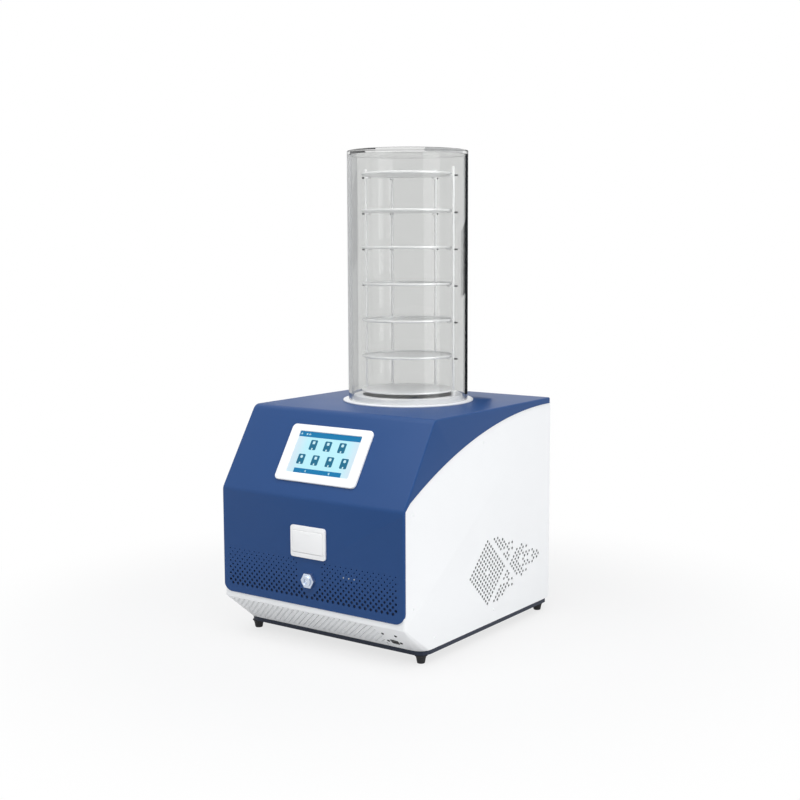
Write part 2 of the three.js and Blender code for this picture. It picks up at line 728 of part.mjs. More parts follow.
const shellInner = loft([
  shellPlan(
    innerHalf,
    SHELL_FRONT_Y + CHIN_SETBACK + innerShift + belowFoot * (CHIN_SETBACK / CHIN_HEIGHT),
    REAR_Y + 1,
    innerFootRadius,
    SHELL_FOOT_Z - belowFoot,
  ),
  shellPlan(innerHalf, SHELL_FRONT_Y + SHELL_WALL, REAR_Y + 1, 2, CHIN_TOP_Z + chinKnee),
  shellPlan(innerHalf, SHELL_FRONT_Y + SHELL_WALL, REAR_Y + 1, 2, TOP_Z + 1),
], (p) => new THREE.Vector2(p.x, p.y));
const underCover = 2 * COVER_SHEET + LAP_GAP; // clear of the cover's inner bends
const shellSide = prism('x', rounded([
  [FRONT_Y - 1, 0],
  [FRONT_Y - 1, SHELL_FOOT_Z - belowFoot],
  [REAR_Y, SHELL_FOOT_Z, SHELL_REAR_CORNER],
  [REAR_Y, FLANGE_Z - LAP_GAP],
  [COVER_REAR_Y - underCover, FLANGE_Z - LAP_GAP],
  [COVER_REAR_Y - underCover, FLANGE_Z + SHELL_LAP],
  ...flangeArc(SHELL_LAP).reverse(),
  [FRONT_Y - 1, SHOULDER_Z + SHELL_LAP],
].filter(([, z]) => z > 0)), -HALF_WIDTH, HALF_WIDTH);
const shellCrown = prism('x', coverProfile(underCover, 0, 0), -HALF_WIDTH, HALF_WIDTH).add(
  box(-HALF_WIDTH, HALF_WIDTH, 0, REAR_Y, 0, FLANGE_Z - LAP_GAP),
).add(
  box(-HALF_WIDTH, HALF_WIDTH, FRONT_Y, 0, 0, SHOULDER_Z - COVER_BEND),
);
const frontWindow = box(
  -SHELL_HALF + SHELL_POST,
  SHELL_HALF - SHELL_POST,
  FRONT_Y,
  FRONT_Y + COVER_BEND,
  COVER_FOOT_Z + SHELL_LAP_FRONT,
  TOP_Z,
);
const slotPlaces = Array.from({ length: SLOT_COUNT }, (_, i) => (
  chin.matrix.clone().multiply(new THREE.Matrix4().makeTranslation(
    SLOT_OFFSET_X + (i - (SLOT_COUNT - 1) / 2) * SLOT_PITCH,
    CHIN_LENGTH - SLOT_TOP_MARGIN - SLOT_LENGTH / 2,
    -COVER_BEND / 2,
  ))
));
const chinSlots = prismField(rectangle(SLOT_WIDTH, SLOT_LENGTH), slotPlaces, COVER_BEND);
const socketHole = onMachine(prism(
  'z',
  rectangle(SOCKET_WIDTH, SOCKET_HEIGHT, 2, SOCKET_X, SOCKET_RISE, 3),
  -COVER_BEND / 2,
  COVER_BEND / 2,
), chin);
const lowerShell = shellOuter
  .subtract(shellInner)
  .intersect(shellSide)
  .intersect(shellCrown)
  .subtract(frontWindow)
  .subtract(chinSlots)
  .subtract(socketHole);
addPart('lower_shell', lowerShell, shellWhite);

// Base pan, with its walls inside the white body.
const panHalf = SHELL_HALF - SHELL_WALL - TRAY_GAP;
const panFrontY = SHELL_FRONT_Y + CHIN_SETBACK + innerShift + TRAY_GAP;
const panRearY = REAR_INNER_Y - TRAY_GAP;
function panPlan(inset) {
  return rounded([
    [-panHalf + inset, panFrontY + inset, innerFootRadius],
    [panHalf - inset, panFrontY + inset, innerFootRadius],
    [panHalf - inset, panRearY - inset, 4],
    [-panHalf + inset, panRearY - inset, 4],
  ], 4);
}
const basePan = prism('z', panPlan(0), FOOT_HEIGHT, FOOT_HEIGHT + TRAY_FLANGE_HEIGHT)
  .subtract(prism('z', panPlan(TRAY_WALL), PAN_FLOOR_Z, TOP_Z));
addPart('base_tray', basePan, baseDark);

[
  ['foot_front_left', -1, -1],
  ['foot_front_right', 1, -1],
  ['foot_rear_left', -1, 1],
  ['foot_rear_right', 1, 1],
].forEach(([name, side, end]) => {
  const x = side * (HALF_WIDTH - FOOT_SIDE_INSET);
  const y = end < 0 ? panFrontY + FOOT_FRONT_INSET : REAR_Y - FOOT_REAR_INSET;
  const foot = turned([
    [0, 0],
    [FOOT_BOTTOM_RADIUS, 0],
    [FOOT_BOTTOM_RADIUS + 1, 1],
    [FOOT_TOP_RADIUS - FOOT_FLARE, FOOT_HEIGHT - FOOT_FLARE],
    [FOOT_TOP_RADIUS, FOOT_HEIGHT],
    [0, FOOT_HEIGHT],
  ], 12, x, y);
  addPart(name, foot, rubberBlack);
});

// ---- Seal ring and chamber -------------------------------------------------------------
const spigotRadius = CHAMBER_BORE - SPIGOT_CLEARANCE;
const sealRing = turned([
  [RING_BORE, TRAP_TOP_Z],
  [RING_SKIRT, TRAP_TOP_Z],
  [RING_SKIRT, TOP_Z],
  [RING_RADIUS - 1, TOP_Z],
  [RING_RADIUS, TOP_Z + 1],
  [RING_RADIUS, RING_TOP_Z - 1],
  [RING_RADIUS - 1, RING_TOP_Z],
  [spigotRadius, RING_TOP_Z],
  [spigotRadius, SPIGOT_TOP_Z - 1],
  [spigotRadius - 1, SPIGOT_TOP_Z],
  [RING_BORE, SPIGOT_TOP_Z],
], 44, 0, TRAP_Y);
addPart('seal_ring', sealRing, sealWhite);

const CHAMBER_TOP_Z = RING_TOP_Z + CHAMBER_HEIGHT;
const chamber = turned([
  [0, CHAMBER_TOP_Z - CHAMBER_TOP],
  [CHAMBER_BORE, CHAMBER_TOP_Z - CHAMBER_TOP],
  [CHAMBER_BORE, RING_TOP_Z],
  [CHAMBER_RADIUS, RING_TOP_Z],
  [CHAMBER_RADIUS, CHAMBER_TOP_Z - CHAMBER_EDGE],
  [CHAMBER_RADIUS - CHAMBER_EDGE, CHAMBER_TOP_Z],
  [0, CHAMBER_TOP_Z],
], 56, 0, TRAP_Y);
addPart('acrylic_chamber', chamber, clearAcrylic);

// ---- Rack and trays --------------------------------------------------------------------
const RACK_BASE_Z = SPIGOT_TOP_Z + ROD_COLLAR_HEIGHT;
const firstTrayZ = RING_TOP_Z + FIRST_TRAY_RISE;
const trayZ = Array.from({ length: TRAY_LEVELS }, (_, i) => firstTrayZ + i * TRAY_SPACING);
const rodTopZ = trayZ[TRAY_LEVELS - 1] + ROD_ABOVE;
const rodPlaces = ROD_DIRECTIONS.map((degrees) => {
  const angle = THREE.MathUtils.degToRad(degrees);
  return new THREE.Matrix4().makeTranslation(0, TRAP_Y, 0)
    .multiply(new THREE.Matrix4().makeRotationZ(angle));
});
function placed(solid, matrix) {
  return toSolid(toGeometry(solid).applyMatrix4(matrix));
}
const rackBaseDisc = bar(
  'z',
  RACK_BASE_RADIUS,
  RACK_BASE_Z,
  RACK_BASE_Z + RACK_BASE_SHEET,
  [0, TRAP_Y],
  40,
);
const rackEar = bar('z', 3 * ROD_RADIUS, RACK_BASE_Z, RACK_BASE_Z + RACK_BASE_SHEET, [ROD_CIRCLE, 0], 10);
const rackEarHole = bar(
  'z',
  ROD_RADIUS + PIN_CLEARANCE,
  RACK_BASE_Z - 1,
  RACK_BASE_Z + RACK_BASE_SHEET + 1,
  [ROD_CIRCLE, 0],
  8,
);
const rackBase = rodPlaces.reduce(
  (disc, place) => disc.add(placed(rackEar, place)).subtract(placed(rackEarHole, place)),
  rackBaseDisc,
);
addPart('rack_base', rackBase, stainless);

const pegInner = ROD_CIRCLE - PEG_INNER;
const pegOuter = ROD_CIRCLE + PEG_OUTER;
const rod = join(
  bar('z', ROD_RADIUS, SPIGOT_TOP_Z, rodTopZ, [ROD_CIRCLE, 0], 8),
  bar('z', ROD_COLLAR_RADIUS, SPIGOT_TOP_Z, RACK_BASE_Z, [ROD_CIRCLE, 0], 10),
  ...trayZ.map((z) => bar('x', PEG_RADIUS, pegInner, pegOuter, [0, z - PEG_RADIUS], 6)),
);
rodPlaces.forEach((place, i) => {
  addPart(`rack_rod_${i + 1}`, placed(rod, place), stainless);
});

trayZ.forEach((z, i) => {
  const dish = turned([
    [0, z],
    [DISH_RADIUS - DISH_BEND, z],
    [DISH_RADIUS, z + DISH_BEND],
    [DISH_RADIUS, z + DISH_RIM],
    [DISH_RADIUS - DISH_SHEET, z + DISH_RIM],
    [DISH_RADIUS - DISH_SHEET, z + DISH_BEND + DISH_SHEET / 2],
    [DISH_RADIUS - DISH_BEND - DISH_SHEET / 2, z + DISH_SHEET],
    [0, z + DISH_SHEET],
  ], 32, 0, TRAP_Y);
  addPart(`tray_${i + 1}`, dish, stainless);
});

// ---- Screen ----------------------------------------------------------------------------
const glassWidth = SCREEN_WIDTH + 2 * GLASS_LAP;
const glassHeight = SCREEN_HEIGHT + 2 * GLASS_LAP;
const glassSeat = SEAT_GAP + GLASS_THICKNESS + SEAT_GAP;
const bezel = prism(
  'z',
  rectangle(BEZEL_WIDTH, BEZEL_HEIGHT, BEZEL_CORNER, 0, SCREEN_U),
  SEAT_GAP,
  BEZEL_THICKNESS,
)
  .subtract(prism('z', rectangle(SCREEN_WIDTH, SCREEN_HEIGHT, 2, 0, GLASS_U), -1, BEZEL_THICKNESS + 1))
  .subtract(prism(
    'z',
    rectangle(glassWidth + 2 * LINE_GAP, glassHeight + 2 * LINE_GAP, 0, 0, GLASS_U),
    -1,
    glassSeat,
  ));
addPart('screen_bezel', bezel, bezelWhite, slope);

const glass = prism(
  'z',
  rectangle(glassWidth, glassHeight, 0, 0, GLASS_U),
  SEAT_GAP,
  SEAT_GAP + GLASS_THICKNESS,
);
addPart('touch_panel', glass, glassCyan, slope);

const moduleTop = -COVER_SHEET - SEAT_GAP;
const moduleBody = join(
  prism(
    'z',
    rectangle(SCREEN_WIDTH + 2 * MODULE_MARGIN, SCREEN_HEIGHT + 2 * MODULE_MARGIN, 2, 0, GLASS_U),
    moduleTop - MODULE_DEPTH / 2,
    moduleTop,
  ),
  prism(
    'z',
    rectangle(SCREEN_WIDTH, SCREEN_HEIGHT, 0, 0, GLASS_U),
    moduleTop - MODULE_DEPTH,
    0,
  ),
);
addPart('display_module', moduleBody, moduleGrey, slope);

// ---- Panel printer ---------------------------------------------------------------------
const frameFrontY = FRONT_Y - PRINTER_FLANGE;
const cavityHalf = bodyWidth / 2 - PRINTER_WALL;
const cavityLowZ = PRINTER_Z - bodyHeight / 2 + PRINTER_WALL;
const cavityHighZ = PRINTER_Z + bodyHeight / 2 - PRINTER_WALL;
const doorLowZ = PRINTER_Z - PRINTER_HEIGHT / 2 + DOOR_SILL;
const doorHighZ = doorLowZ + DOOR_HEIGHT;
const doorFrontY = frameFrontY - DOOR_PROUD;
const doorBackY = doorFrontY + DOOR_THICKNESS;
const doorAxisY = (doorFrontY + doorBackY) / 2;
const doorAxisZ = doorLowZ + DOOR_THICKNESS / 2;
const pinHole = DOOR_PIN_RADIUS + LINE_GAP;

const printerFrame = prism(
  'y',
  rectangle(PRINTER_HEIGHT, PRINTER_WIDTH, 5, PRINTER_Z, 0),
  frameFrontY,
  FRONT_Y,
).add(box(
  -bodyWidth / 2,
  bodyWidth / 2,
  FRONT_Y - 1,
  FRONT_Y + PRINTER_DEPTH,
  PRINTER_Z - bodyHeight / 2,
  PRINTER_Z + bodyHeight / 2,
)).subtract(box(
  -cavityHalf,
  cavityHalf,
  FRONT_Y,
  FRONT_Y + PRINTER_DEPTH - PRINTER_WALL,
  cavityLowZ,
  cavityHighZ,
)).subtract(box(
  -DOOR_WIDTH / 2 - DOOR_GAP,
  DOOR_WIDTH / 2 + DOOR_GAP,
  frameFrontY - 1,
  FRONT_Y + 1,
  doorLowZ - DOOR_GAP,
  doorHighZ + DOOR_GAP,
)).subtract(bar(
  'x',
  pinHole,
  -DOOR_WIDTH / 2 - DOOR_PIN_LENGTH - DOOR_GAP,
  DOOR_WIDTH / 2 + DOOR_PIN_LENGTH + DOOR_GAP,
  [doorAxisY, doorAxisZ],
  10,
));
addPart('printer_frame', printerFrame, printerWhite);

const platenY = FRONT_Y + PLATEN_SETBACK;
const platenZ = doorLowZ + PLATEN_RISE;
const earInner = PLATEN_LENGTH / 2 + DOOR_GAP;
const ears = [-1, 1].map((side) => box(
  side < 0 ? -earInner - PLATEN_EAR : earInner,
  side < 0 ? -earInner : earInner + PLATEN_EAR,
  doorBackY - 1,
  platenY + 3,
  platenZ - 3,
  platenZ + 3,
));
const doorOutline = rounded([
  [doorFrontY, doorLowZ, DOOR_THICKNESS / 2],
  [doorBackY, doorLowZ, DOOR_THICKNESS / 2],
  [doorBackY, doorHighZ],
  [doorFrontY, doorHighZ, 1],
], 4);
const door = join(
  prism('x', doorOutline, -DOOR_WIDTH / 2, DOOR_WIDTH / 2),
  bar(
    'x',
    DOOR_PIN_RADIUS,
    -DOOR_WIDTH / 2 - DOOR_PIN_LENGTH,
    DOOR_WIDTH / 2 + DOOR_PIN_LENGTH,
    [doorAxisY, doorAxisZ],
    10,
  ),
  ...ears,
).subtract(bar('x', PLATEN_AXLE + PIN_CLEARANCE, -DOOR_WIDTH / 2, DOOR_WIDTH / 2, [platenY, platenZ], 12));
addPart('printer_door', door, printerWhite);

const axleReach = earInner + PLATEN_EAR - DOOR_GAP;
const platen = join(
  bar('x', PLATEN_RADIUS, -PLATEN_LENGTH / 2, PLATEN_LENGTH / 2, [platenY, platenZ], 20),
  bar('x', PLATEN_AXLE, -axleReach, axleReach, [platenY, platenZ], 12),
);
addPart('platen_roller', platen, rubberBlack);

const paperY = FRONT_Y + PRINTER_DEPTH - PRINTER_WALL - PAPER_RADIUS - 1;
const paperZ = cavityLowZ + PAPER_RADIUS + SEAT_GAP;
const paperRoll = bar('x', PAPER_RADIUS, -PAPER_WIDTH / 2, PAPER_WIDTH / 2, [paperY, paperZ], 28)
  .subtract(bar('x', PAPER_CORE, -PAPER_WIDTH, PAPER_WIDTH, [paperY, paperZ], 16));
addPart('paper_roll', paperRoll, paperWhite);

// ---- Drain -----------------------------------------------------------------------------
const shankEndY = FRONT_Y + DRAIN_SHANK_LENGTH;
const barbEndY = shankEndY + BARB_LENGTH;
const drainAxis = [DRAIN_Z, 0];
const hexTurn = Math.PI / 2;
const drainHex = polygon(6, DRAIN_HEX / 2).map((point) => (
  point.clone().rotateAround(new THREE.Vector2(), hexTurn).add(new THREE.Vector2(DRAIN_Z, 0))
));
const nutHex = polygon(6, NUT_HEX / 2).map((point) => (
  point.clone().rotateAround(new THREE.Vector2(), hexTurn).add(new THREE.Vector2(DRAIN_Z, 0))
));
const drainFitting = join(
  prism('y', drainHex, FRONT_Y - DRAIN_HEX_THICKNESS, FRONT_Y),
  bar('y', DRAIN_COLLAR, FRONT_Y - DRAIN_COLLAR_PROUD, FRONT_Y, drainAxis, 24),
  bar('y', DRAIN_SHANK, FRONT_Y - 1, shankEndY, drainAxis, 20),
  bar('y', BARB_RADIUS, shankEndY - 1, barbEndY, drainAxis, 16),
).subtract(bar('y', DRAIN_BORE, FRONT_Y - 2 * DRAIN_COLLAR, barbEndY + 1, drainAxis, 16));
addPart('drain_fitting', drainFitting, nickel);

const nutStartY = FRONT_Y + COVER_SHEET + SEAT_GAP;
const drainNut = prism('y', nutHex, nutStartY, nutStartY + NUT_THICKNESS)
  .subtract(bar('y', DRAIN_SHANK + LINE_GAP, FRONT_Y, shankEndY, drainAxis, 20));
addPart('drain_nut', drainNut, nickel);

const stubEndZ = TRAP_FLOOR_Z - TRAP_WALL - DRAIN_STUB_LENGTH;
const hoseTopZ = STAND_TOP_Z - STAND_SHEET - 3;
const drainHose = tube(route(
  [0, TRAP_Y, hoseTopZ],
  [0, TRAP_Y, stubEndZ - 1],
  [0, TRAP_Y, stubEndZ - 12],
  [0, TRAP_Y - 20, stubEndZ - 42],
  [0, TRAP_Y - 70, DRAIN_Z + 4],
  [0, TRAP_Y - 150, DRAIN_Z],
  [0, barbEndY + 30, DRAIN_Z],
  [0, barbEndY, DRAIN_Z],
  [0, shankEndY + 1, DRAIN_Z],
), HOSE_RADIUS, 24, 8, HOSE_BORE);
addPart('drain_hose', drainHose, hoseClear);

// ---- Cold trap -------------------------------------------------------------------------
const trapOuter = TRAP_RADIUS + TRAP_WALL;
const portHole = bar('y', PORT_RADIUS + LINE_GAP, TRAP_Y, REAR_Y, [PORT_Z, 0], 16);
const trap = turned([
  [DRAIN_BORE, TRAP_FLOOR_Z],
  [TRAP_RADIUS, TRAP_FLOOR_Z],
  [TRAP_RADIUS, TRAP_TOP_Z],
  [TRAP_FLANGE_RADIUS, TRAP_TOP_Z],
  [TRAP_FLANGE_RADIUS, TRAP_TOP_Z - TRAP_WALL],
  [trapOuter, TRAP_TOP_Z - TRAP_WALL],
  [trapOuter, TRAP_FLOOR_Z - TRAP_WALL],
  [DRAIN_STUB_RADIUS, TRAP_FLOOR_Z - TRAP_WALL],
  [DRAIN_STUB_RADIUS, stubEndZ],
  [DRAIN_BORE, stubEndZ],
], 32, 0, TRAP_Y).subtract(portHole);
addPart('cold_trap', trap, stainless);

// Evaporator coil: wound round the trap, both ends led out through the insulation.
const COIL_START = THREE.MathUtils.degToRad(40);
const COIL_LEAD = THREE.MathUtils.degToRad(9);
const coilSweep = 2 * Math.PI * COIL_TURNS;
const coilEnd = COIL_START + coilSweep;
const coilTopZ = COIL_START_Z + COIL_TURNS * COIL_PITCH;
function aroundTrap(radius, angle, z) {
  return [radius * Math.cos(angle), TRAP_Y + radius * Math.sin(angle), z];
}
const coilExit = FOAM_RADIUS + 10;
const coilSteps = Math.round(COIL_TURNS * COIL_STEPS_PER_TURN / 2);
const coilPoints = Array.from({ length: coilSteps + 1 }, (_, i) => {
  const part = i / coilSteps;
  const turned = COIL_START + part * coilSweep;
  return aroundTrap(COIL_RADIUS, turned, COIL_START_Z + part * (coilTopZ - COIL_START_Z));
});
const coil = tube(route(
  aroundTrap(coilExit, COIL_START - COIL_LEAD, COIL_START_Z),
  aroundTrap(coilExit - 12, COIL_START - COIL_LEAD, COIL_START_Z),
  aroundTrap(FOAM_BORE + 4, COIL_START - COIL_LEAD * 0.9, COIL_START_Z),
  ...coilPoints,
  aroundTrap(FOAM_BORE + 4, coilEnd + COIL_LEAD * 0.9, coilTopZ),
  aroundTrap(coilExit - 12, coilEnd + COIL_LEAD, coilTopZ),
  aroundTrap(coilExit, coilEnd + COIL_LEAD, coilTopZ),
), COIL_TUBE, Math.round(COIL_TURNS * COIL_STEPS_PER_TURN) + 6, 6);
addPart('evaporator_coil', coil, copper);

const leadHoles = [
  [COIL_START - COIL_LEAD, COIL_START_Z],
  [coilEnd + COIL_LEAD, coilTopZ],
].map(([angle, z]) => {
  const from = new THREE.Vector3(...aroundTrap(COIL_RADIUS - COIL_TUBE, angle, z));
  const to = new THREE.Vector3(...aroundTrap(FOAM_RADIUS + 5, angle, z));
  return tube(new THREE.LineCurve3(from, to), COIL_TUBE * 4, 1, 12);
});
const foamTopZ = TRAP_TOP_Z - TRAP_WALL - LINE_GAP;
const foam = leadHoles.reduce((body, hole) => body.subtract(hole), turned([
  [DRAIN_STUB_RADIUS + 1, FOAM_FLOOR_Z],
  [FOAM_BORE, FOAM_FLOOR_Z],
  [FOAM_BORE, foamTopZ],
  [FOAM_RADIUS, foamTopZ],
  [FOAM_RADIUS, FOAM_FLOOR_Z - FOAM_FLOOR],
  [DRAIN_STUB_RADIUS + 1, FOAM_FLOOR_Z - FOAM_FLOOR],
], 28, 0, TRAP_Y).subtract(portHole));
addPart('trap_insulation', foam, foamCream);

const standHole = bar('z', STAND_HOLE, 0, TOP_Z, [0, TRAP_Y], 24);
const standLegs = [[-1, -1], [1, -1], [-1, 1], [1, 1]].map(([sx, sy]) => {
  const x = sx * STAND_REACH;
  const y = TRAP_Y + sy * STAND_REACH;
  const inX = x - sx * STAND_LEG;
  const inY = y - sy * STAND_LEG;
  const top = STAND_TOP_Z - 1;
  const alongX = box(
    Math.min(x, inX),
    Math.max(x, inX),
    Math.min(y, y - sy * STAND_LEG_SHEET),
    Math.max(y, y - sy * STAND_LEG_SHEET),
    PAN_FLOOR_Z,
    top,
  );
  const alongY = box(
    Math.min(x, x - sx * STAND_LEG_SHEET),
    Math.max(x, x - sx * STAND_LEG_SHEET),
    Math.min(y, inY),
    Math.max(y, inY),
    PAN_FLOOR_Z,
    top,
  );
  return alongX.add(alongY);
});
const stand = join(
  box(
    -STAND_REACH,
    STAND_REACH,
    TRAP_Y - STAND_REACH,
    TRAP_Y + STAND_REACH,
    STAND_TOP_Z - STAND_SHEET,
    STAND_TOP_Z,
  ),
  ...standLegs,
).subtract(standHole);
addPart('trap_stand', stand, galvanised);

// Pump port: straight pipe from the trap to a clamped flange behind the machine.
const pipeStartY = TRAP_Y + TRAP_RADIUS - 1;
const pipeEndY = REAR_Y + PORT_REACH;
const portAxis = [PORT_Z, 0];
const gaugeY = TRAP_Y + GAUGE_BEHIND_TRAP;
const gaugeFootZ = PORT_Z + PORT_RADIUS + 6;
const vacuumPort = join(
  bar('y', PORT_RADIUS, pipeStartY, pipeEndY, portAxis, 24),
  bar('y', PORT_FLANGE_RADIUS, pipeEndY - PORT_FLANGE_THICKNESS, pipeEndY, portAxis, 32),
  bar('z', GAUGE_RADIUS, PORT_Z, gaugeFootZ, [0, gaugeY], 16),
).subtract(bar('y', PORT_BORE, pipeStartY - 1, pipeEndY + 1, portAxis, 24));
addPart('vacuum_port', vacuumPort, stainless);

const gauge = join(
  bar('z', GAUGE_RADIUS + 2, gaugeFootZ, gaugeFootZ + GAUGE_LENGTH, [0, gaugeY], 18),
  bar('z', GAUGE_RADIUS / 2, gaugeFootZ + GAUGE_LENGTH - 1, gaugeFootZ + GAUGE_LENGTH + 8, [0, gaugeY], 12),
);
addPart('vacuum_gauge', gauge, plasticBlack);

// ---- Refrigeration ---------------------------------------------------------------------
const compressorY = TRAP_Y + COMPRESSOR_BEHIND_TRAP;
const plateZ = PAN_FLOOR_Z + GROMMET_HEIGHT;
const compressorFootZ = plateZ + COMPRESSOR_PLATE_SHEET;
const compressorTopZ = compressorFootZ + COMPRESSOR_HEIGHT;
const stubZ = compressorFootZ + COMPRESSOR_STUB_RISE;
function dome(baseZ, crownZ, turns) {
  return turns.map((degrees) => {
    const angle = THREE.MathUtils.degToRad(degrees);
    return [COMPRESSOR_RADIUS * Math.cos(angle), baseZ + (crownZ - baseZ) * Math.sin(angle)];
  });
}
const canBaseZ = compressorFootZ + COMPRESSOR_BASE_LIP;
const canCrownZ = compressorTopZ - COMPRESSOR_TOP_LIP;
const can = turned([
  [0, compressorFootZ],
  ...dome(canBaseZ, compressorFootZ, [72, 36, 0]),
  ...dome(canCrownZ, compressorTopZ, [0, 24, 48, 72]),
  [0, compressorTopZ],
], 24, COMPRESSOR_X, compressorY);
const stubReach = COMPRESSOR_RADIUS + STUB_LENGTH;
const compressor = join(
  can,
  bar('y', STUB_RADIUS, compressorY - stubReach, compressorY, [stubZ, COMPRESSOR_X], 12),
  bar('x', STUB_RADIUS, COMPRESSOR_X, COMPRESSOR_X + stubReach, [compressorY, stubZ], 12),
);
addPart('compressor', compressor, compressorBlack);

const halfPlate = COMPRESSOR_PLATE / 2;
const grommetPlaces = [[-1, -1], [1, -1], [-1, 1], [1, 1]].map(([sx, sy]) => [
  COMPRESSOR_X + sx * (halfPlate - GROMMET_INSET),
  compressorY + sy * (halfPlate - GROMMET_INSET),
]);
const compressorPlate = prism('z', rounded([
  [COMPRESSOR_X - halfPlate, compressorY - halfPlate, GROMMET_INSET],
  [COMPRESSOR_X + halfPlate, compressorY - halfPlate, GROMMET_INSET],
  [COMPRESSOR_X + halfPlate, compressorY + halfPlate, GROMMET_INSET],
  [COMPRESSOR_X - halfPlate, compressorY + halfPlate, GROMMET_INSET],
], 3), plateZ, compressorFootZ);
addPart('compressor_plate', compressorPlate, galvanised);
const grommetMiddleZ = PAN_FLOOR_Z + GROMMET_HEIGHT / 2;
grommetPlaces.forEach(([x, y], i) => {
  const grommet = turned([
    [0, PAN_FLOOR_Z],
    [GROMMET_RADIUS, PAN_FLOOR_Z],
    [GROMMET_RADIUS, grommetMiddleZ - GROMMET_GROOVE],
    [GROMMET_RADIUS - GROMMET_GROOVE, grommetMiddleZ],
    [GROMMET_RADIUS, grommetMiddleZ + GROMMET_GROOVE],
    [GROMMET_RADIUS, plateZ],
    [0, plateZ],
  ], 10, x, y);
  addPart(`grommet_${i + 1}`, grommet, rubberBlack);
});

// Condenser: a serpentine tube through a stack of fins, on two taller end plates.
const condenserY = TRAP_Y + CONDENSER_SHIFT;
const condenserOuterX = panHalf - TRAY_WALL - CONDENSER_GAP;
const condenserX = condenserOuterX - CONDENSER_THICKNESS / 2;
const condenserInnerX = condenserOuterX - CONDENSER_THICKNESS;
const finLowZ = PAN_FLOOR_Z + CONDENSER_LIFT;
const finHighZ = finLowZ + CONDENSER_HEIGHT;
const finPitch = (CONDENSER_WIDTH - FIN_SHEET) / (FIN_COUNT - 1);
const fins = Array.from({ length: FIN_COUNT }, (_, i) => {
  const y = condenserY - CONDENSER_WIDTH / 2 + i * finPitch;
  const isEnd = i === 0 || i === FIN_COUNT - 1;
  return box(condenserInnerX, condenserOuterX, y, y + FIN_SHEET, isEnd ? PAN_FLOOR_Z : finLowZ, finHighZ);
});
const passPitch = (CONDENSER_HEIGHT - 2 * PASS_MARGIN) / (PASS_COUNT - 1);
const passEnd = CONDENSER_WIDTH / 2 + PASS_END;
const passPoints = Array.from({ length: PASS_COUNT }, (_, i) => {
  const z = finHighZ - PASS_MARGIN - i * passPitch;
  const way = i % 2 === 0 ? 1 : -1;
  const isFirst = i === 0;
  const isLast = i === PASS_COUNT - 1;
  return [
    ...(isFirst ? [[condenserX, condenserY + way * passEnd, z]] : []),
    [condenserX, condenserY + way * (passEnd - 12), z],
    [condenserX, condenserY - way * (passEnd - 12), z],
    ...(isLast
      ? [[condenserX, condenserY - way * passEnd, z]]
      : [[condenserX, condenserY - way * (passEnd + 4), z - passPitch / 2]]),
  ];
}).flat();
const serpentine = tube(route(...passPoints), PASS_RADIUS, 40, 6);
addPart('condenser', join(serpentine, ...fins), finAluminium);
const passTopZ = finHighZ - PASS_MARGIN;
const passLowZ = passTopZ - (PASS_COUNT - 1) * passPitch;

// Fan shroud with a strap that carries the motor.
const fanZ = (finLowZ + finHighZ) / 2;
const fanAxis = [condenserY, fanZ];
const shroudX = condenserInnerX - LINE_GAP;
const shroudFaceX = shroudX - SHROUD_DEPTH;
const shroudHalf = CONDENSER_WIDTH / 2 + SHROUD_DEPTH;
const strapX = shroudFaceX - STRAP_SETBACK;
const strapHalf = SHROUD_HOLE + SHROUD_SHEET + 8;
const collarRing = bar(
  'x',
  SHROUD_HOLE + SHROUD_SHEET,
  shroudFaceX - SHROUD_COLLAR,
  shroudFaceX + 1,
  fanAxis,
  40,
);
const shroud = join(
  box(
    shroudFaceX,
    shroudX,
    condenserY - shroudHalf,
    condenserY + shroudHalf,
    PAN_FLOOR_Z,
    finHighZ + 2,
  ).subtract(box(
    shroudFaceX + SHROUD_SHEET,
    shroudX + 1,
    condenserY - shroudHalf + SHROUD_SHEET,
    condenserY + shroudHalf - SHROUD_SHEET,
    finLowZ - SHROUD_SHEET,
    finHighZ,
  )),
  collarRing,
).subtract(bar('x', SHROUD_HOLE, shroudFaceX - MANY, shroudX + 1, fanAxis, 40));
const strap = join(
  box(
    strapX,
    strapX + STRAP_SHEET,
    condenserY - strapHalf,
    condenserY + strapHalf,
    fanZ - STRAP_WIDTH / 2,
    fanZ + STRAP_WIDTH / 2,
  ),
  ...[-1, 1].map((side) => {
    const outer = condenserY + side * strapHalf;
    const inner = outer - side * STRAP_SHEET;
    return box(
      strapX,
      shroudFaceX + 1,
      Math.min(outer, inner),
      Math.max(outer, inner),
      fanZ - STRAP_WIDTH / 2,
      fanZ + STRAP_WIDTH / 2,
    );
  }),
).subtract(bar('x', SHAFT_RADIUS + PIN_CLEARANCE, strapX - 1, strapX + STRAP_SHEET + 1, fanAxis, 12));
addPart('fan_shroud', shroud.add(strap), galvanised);

const motor = join(
  bar('x', MOTOR_RADIUS, strapX - MOTOR_LENGTH, strapX, fanAxis, 24),
  bar('x', SHAFT_RADIUS, strapX - 1, strapX + SHAFT_LENGTH, fanAxis, 12),
);
addPart('fan_motor', motor, compressorBlack);

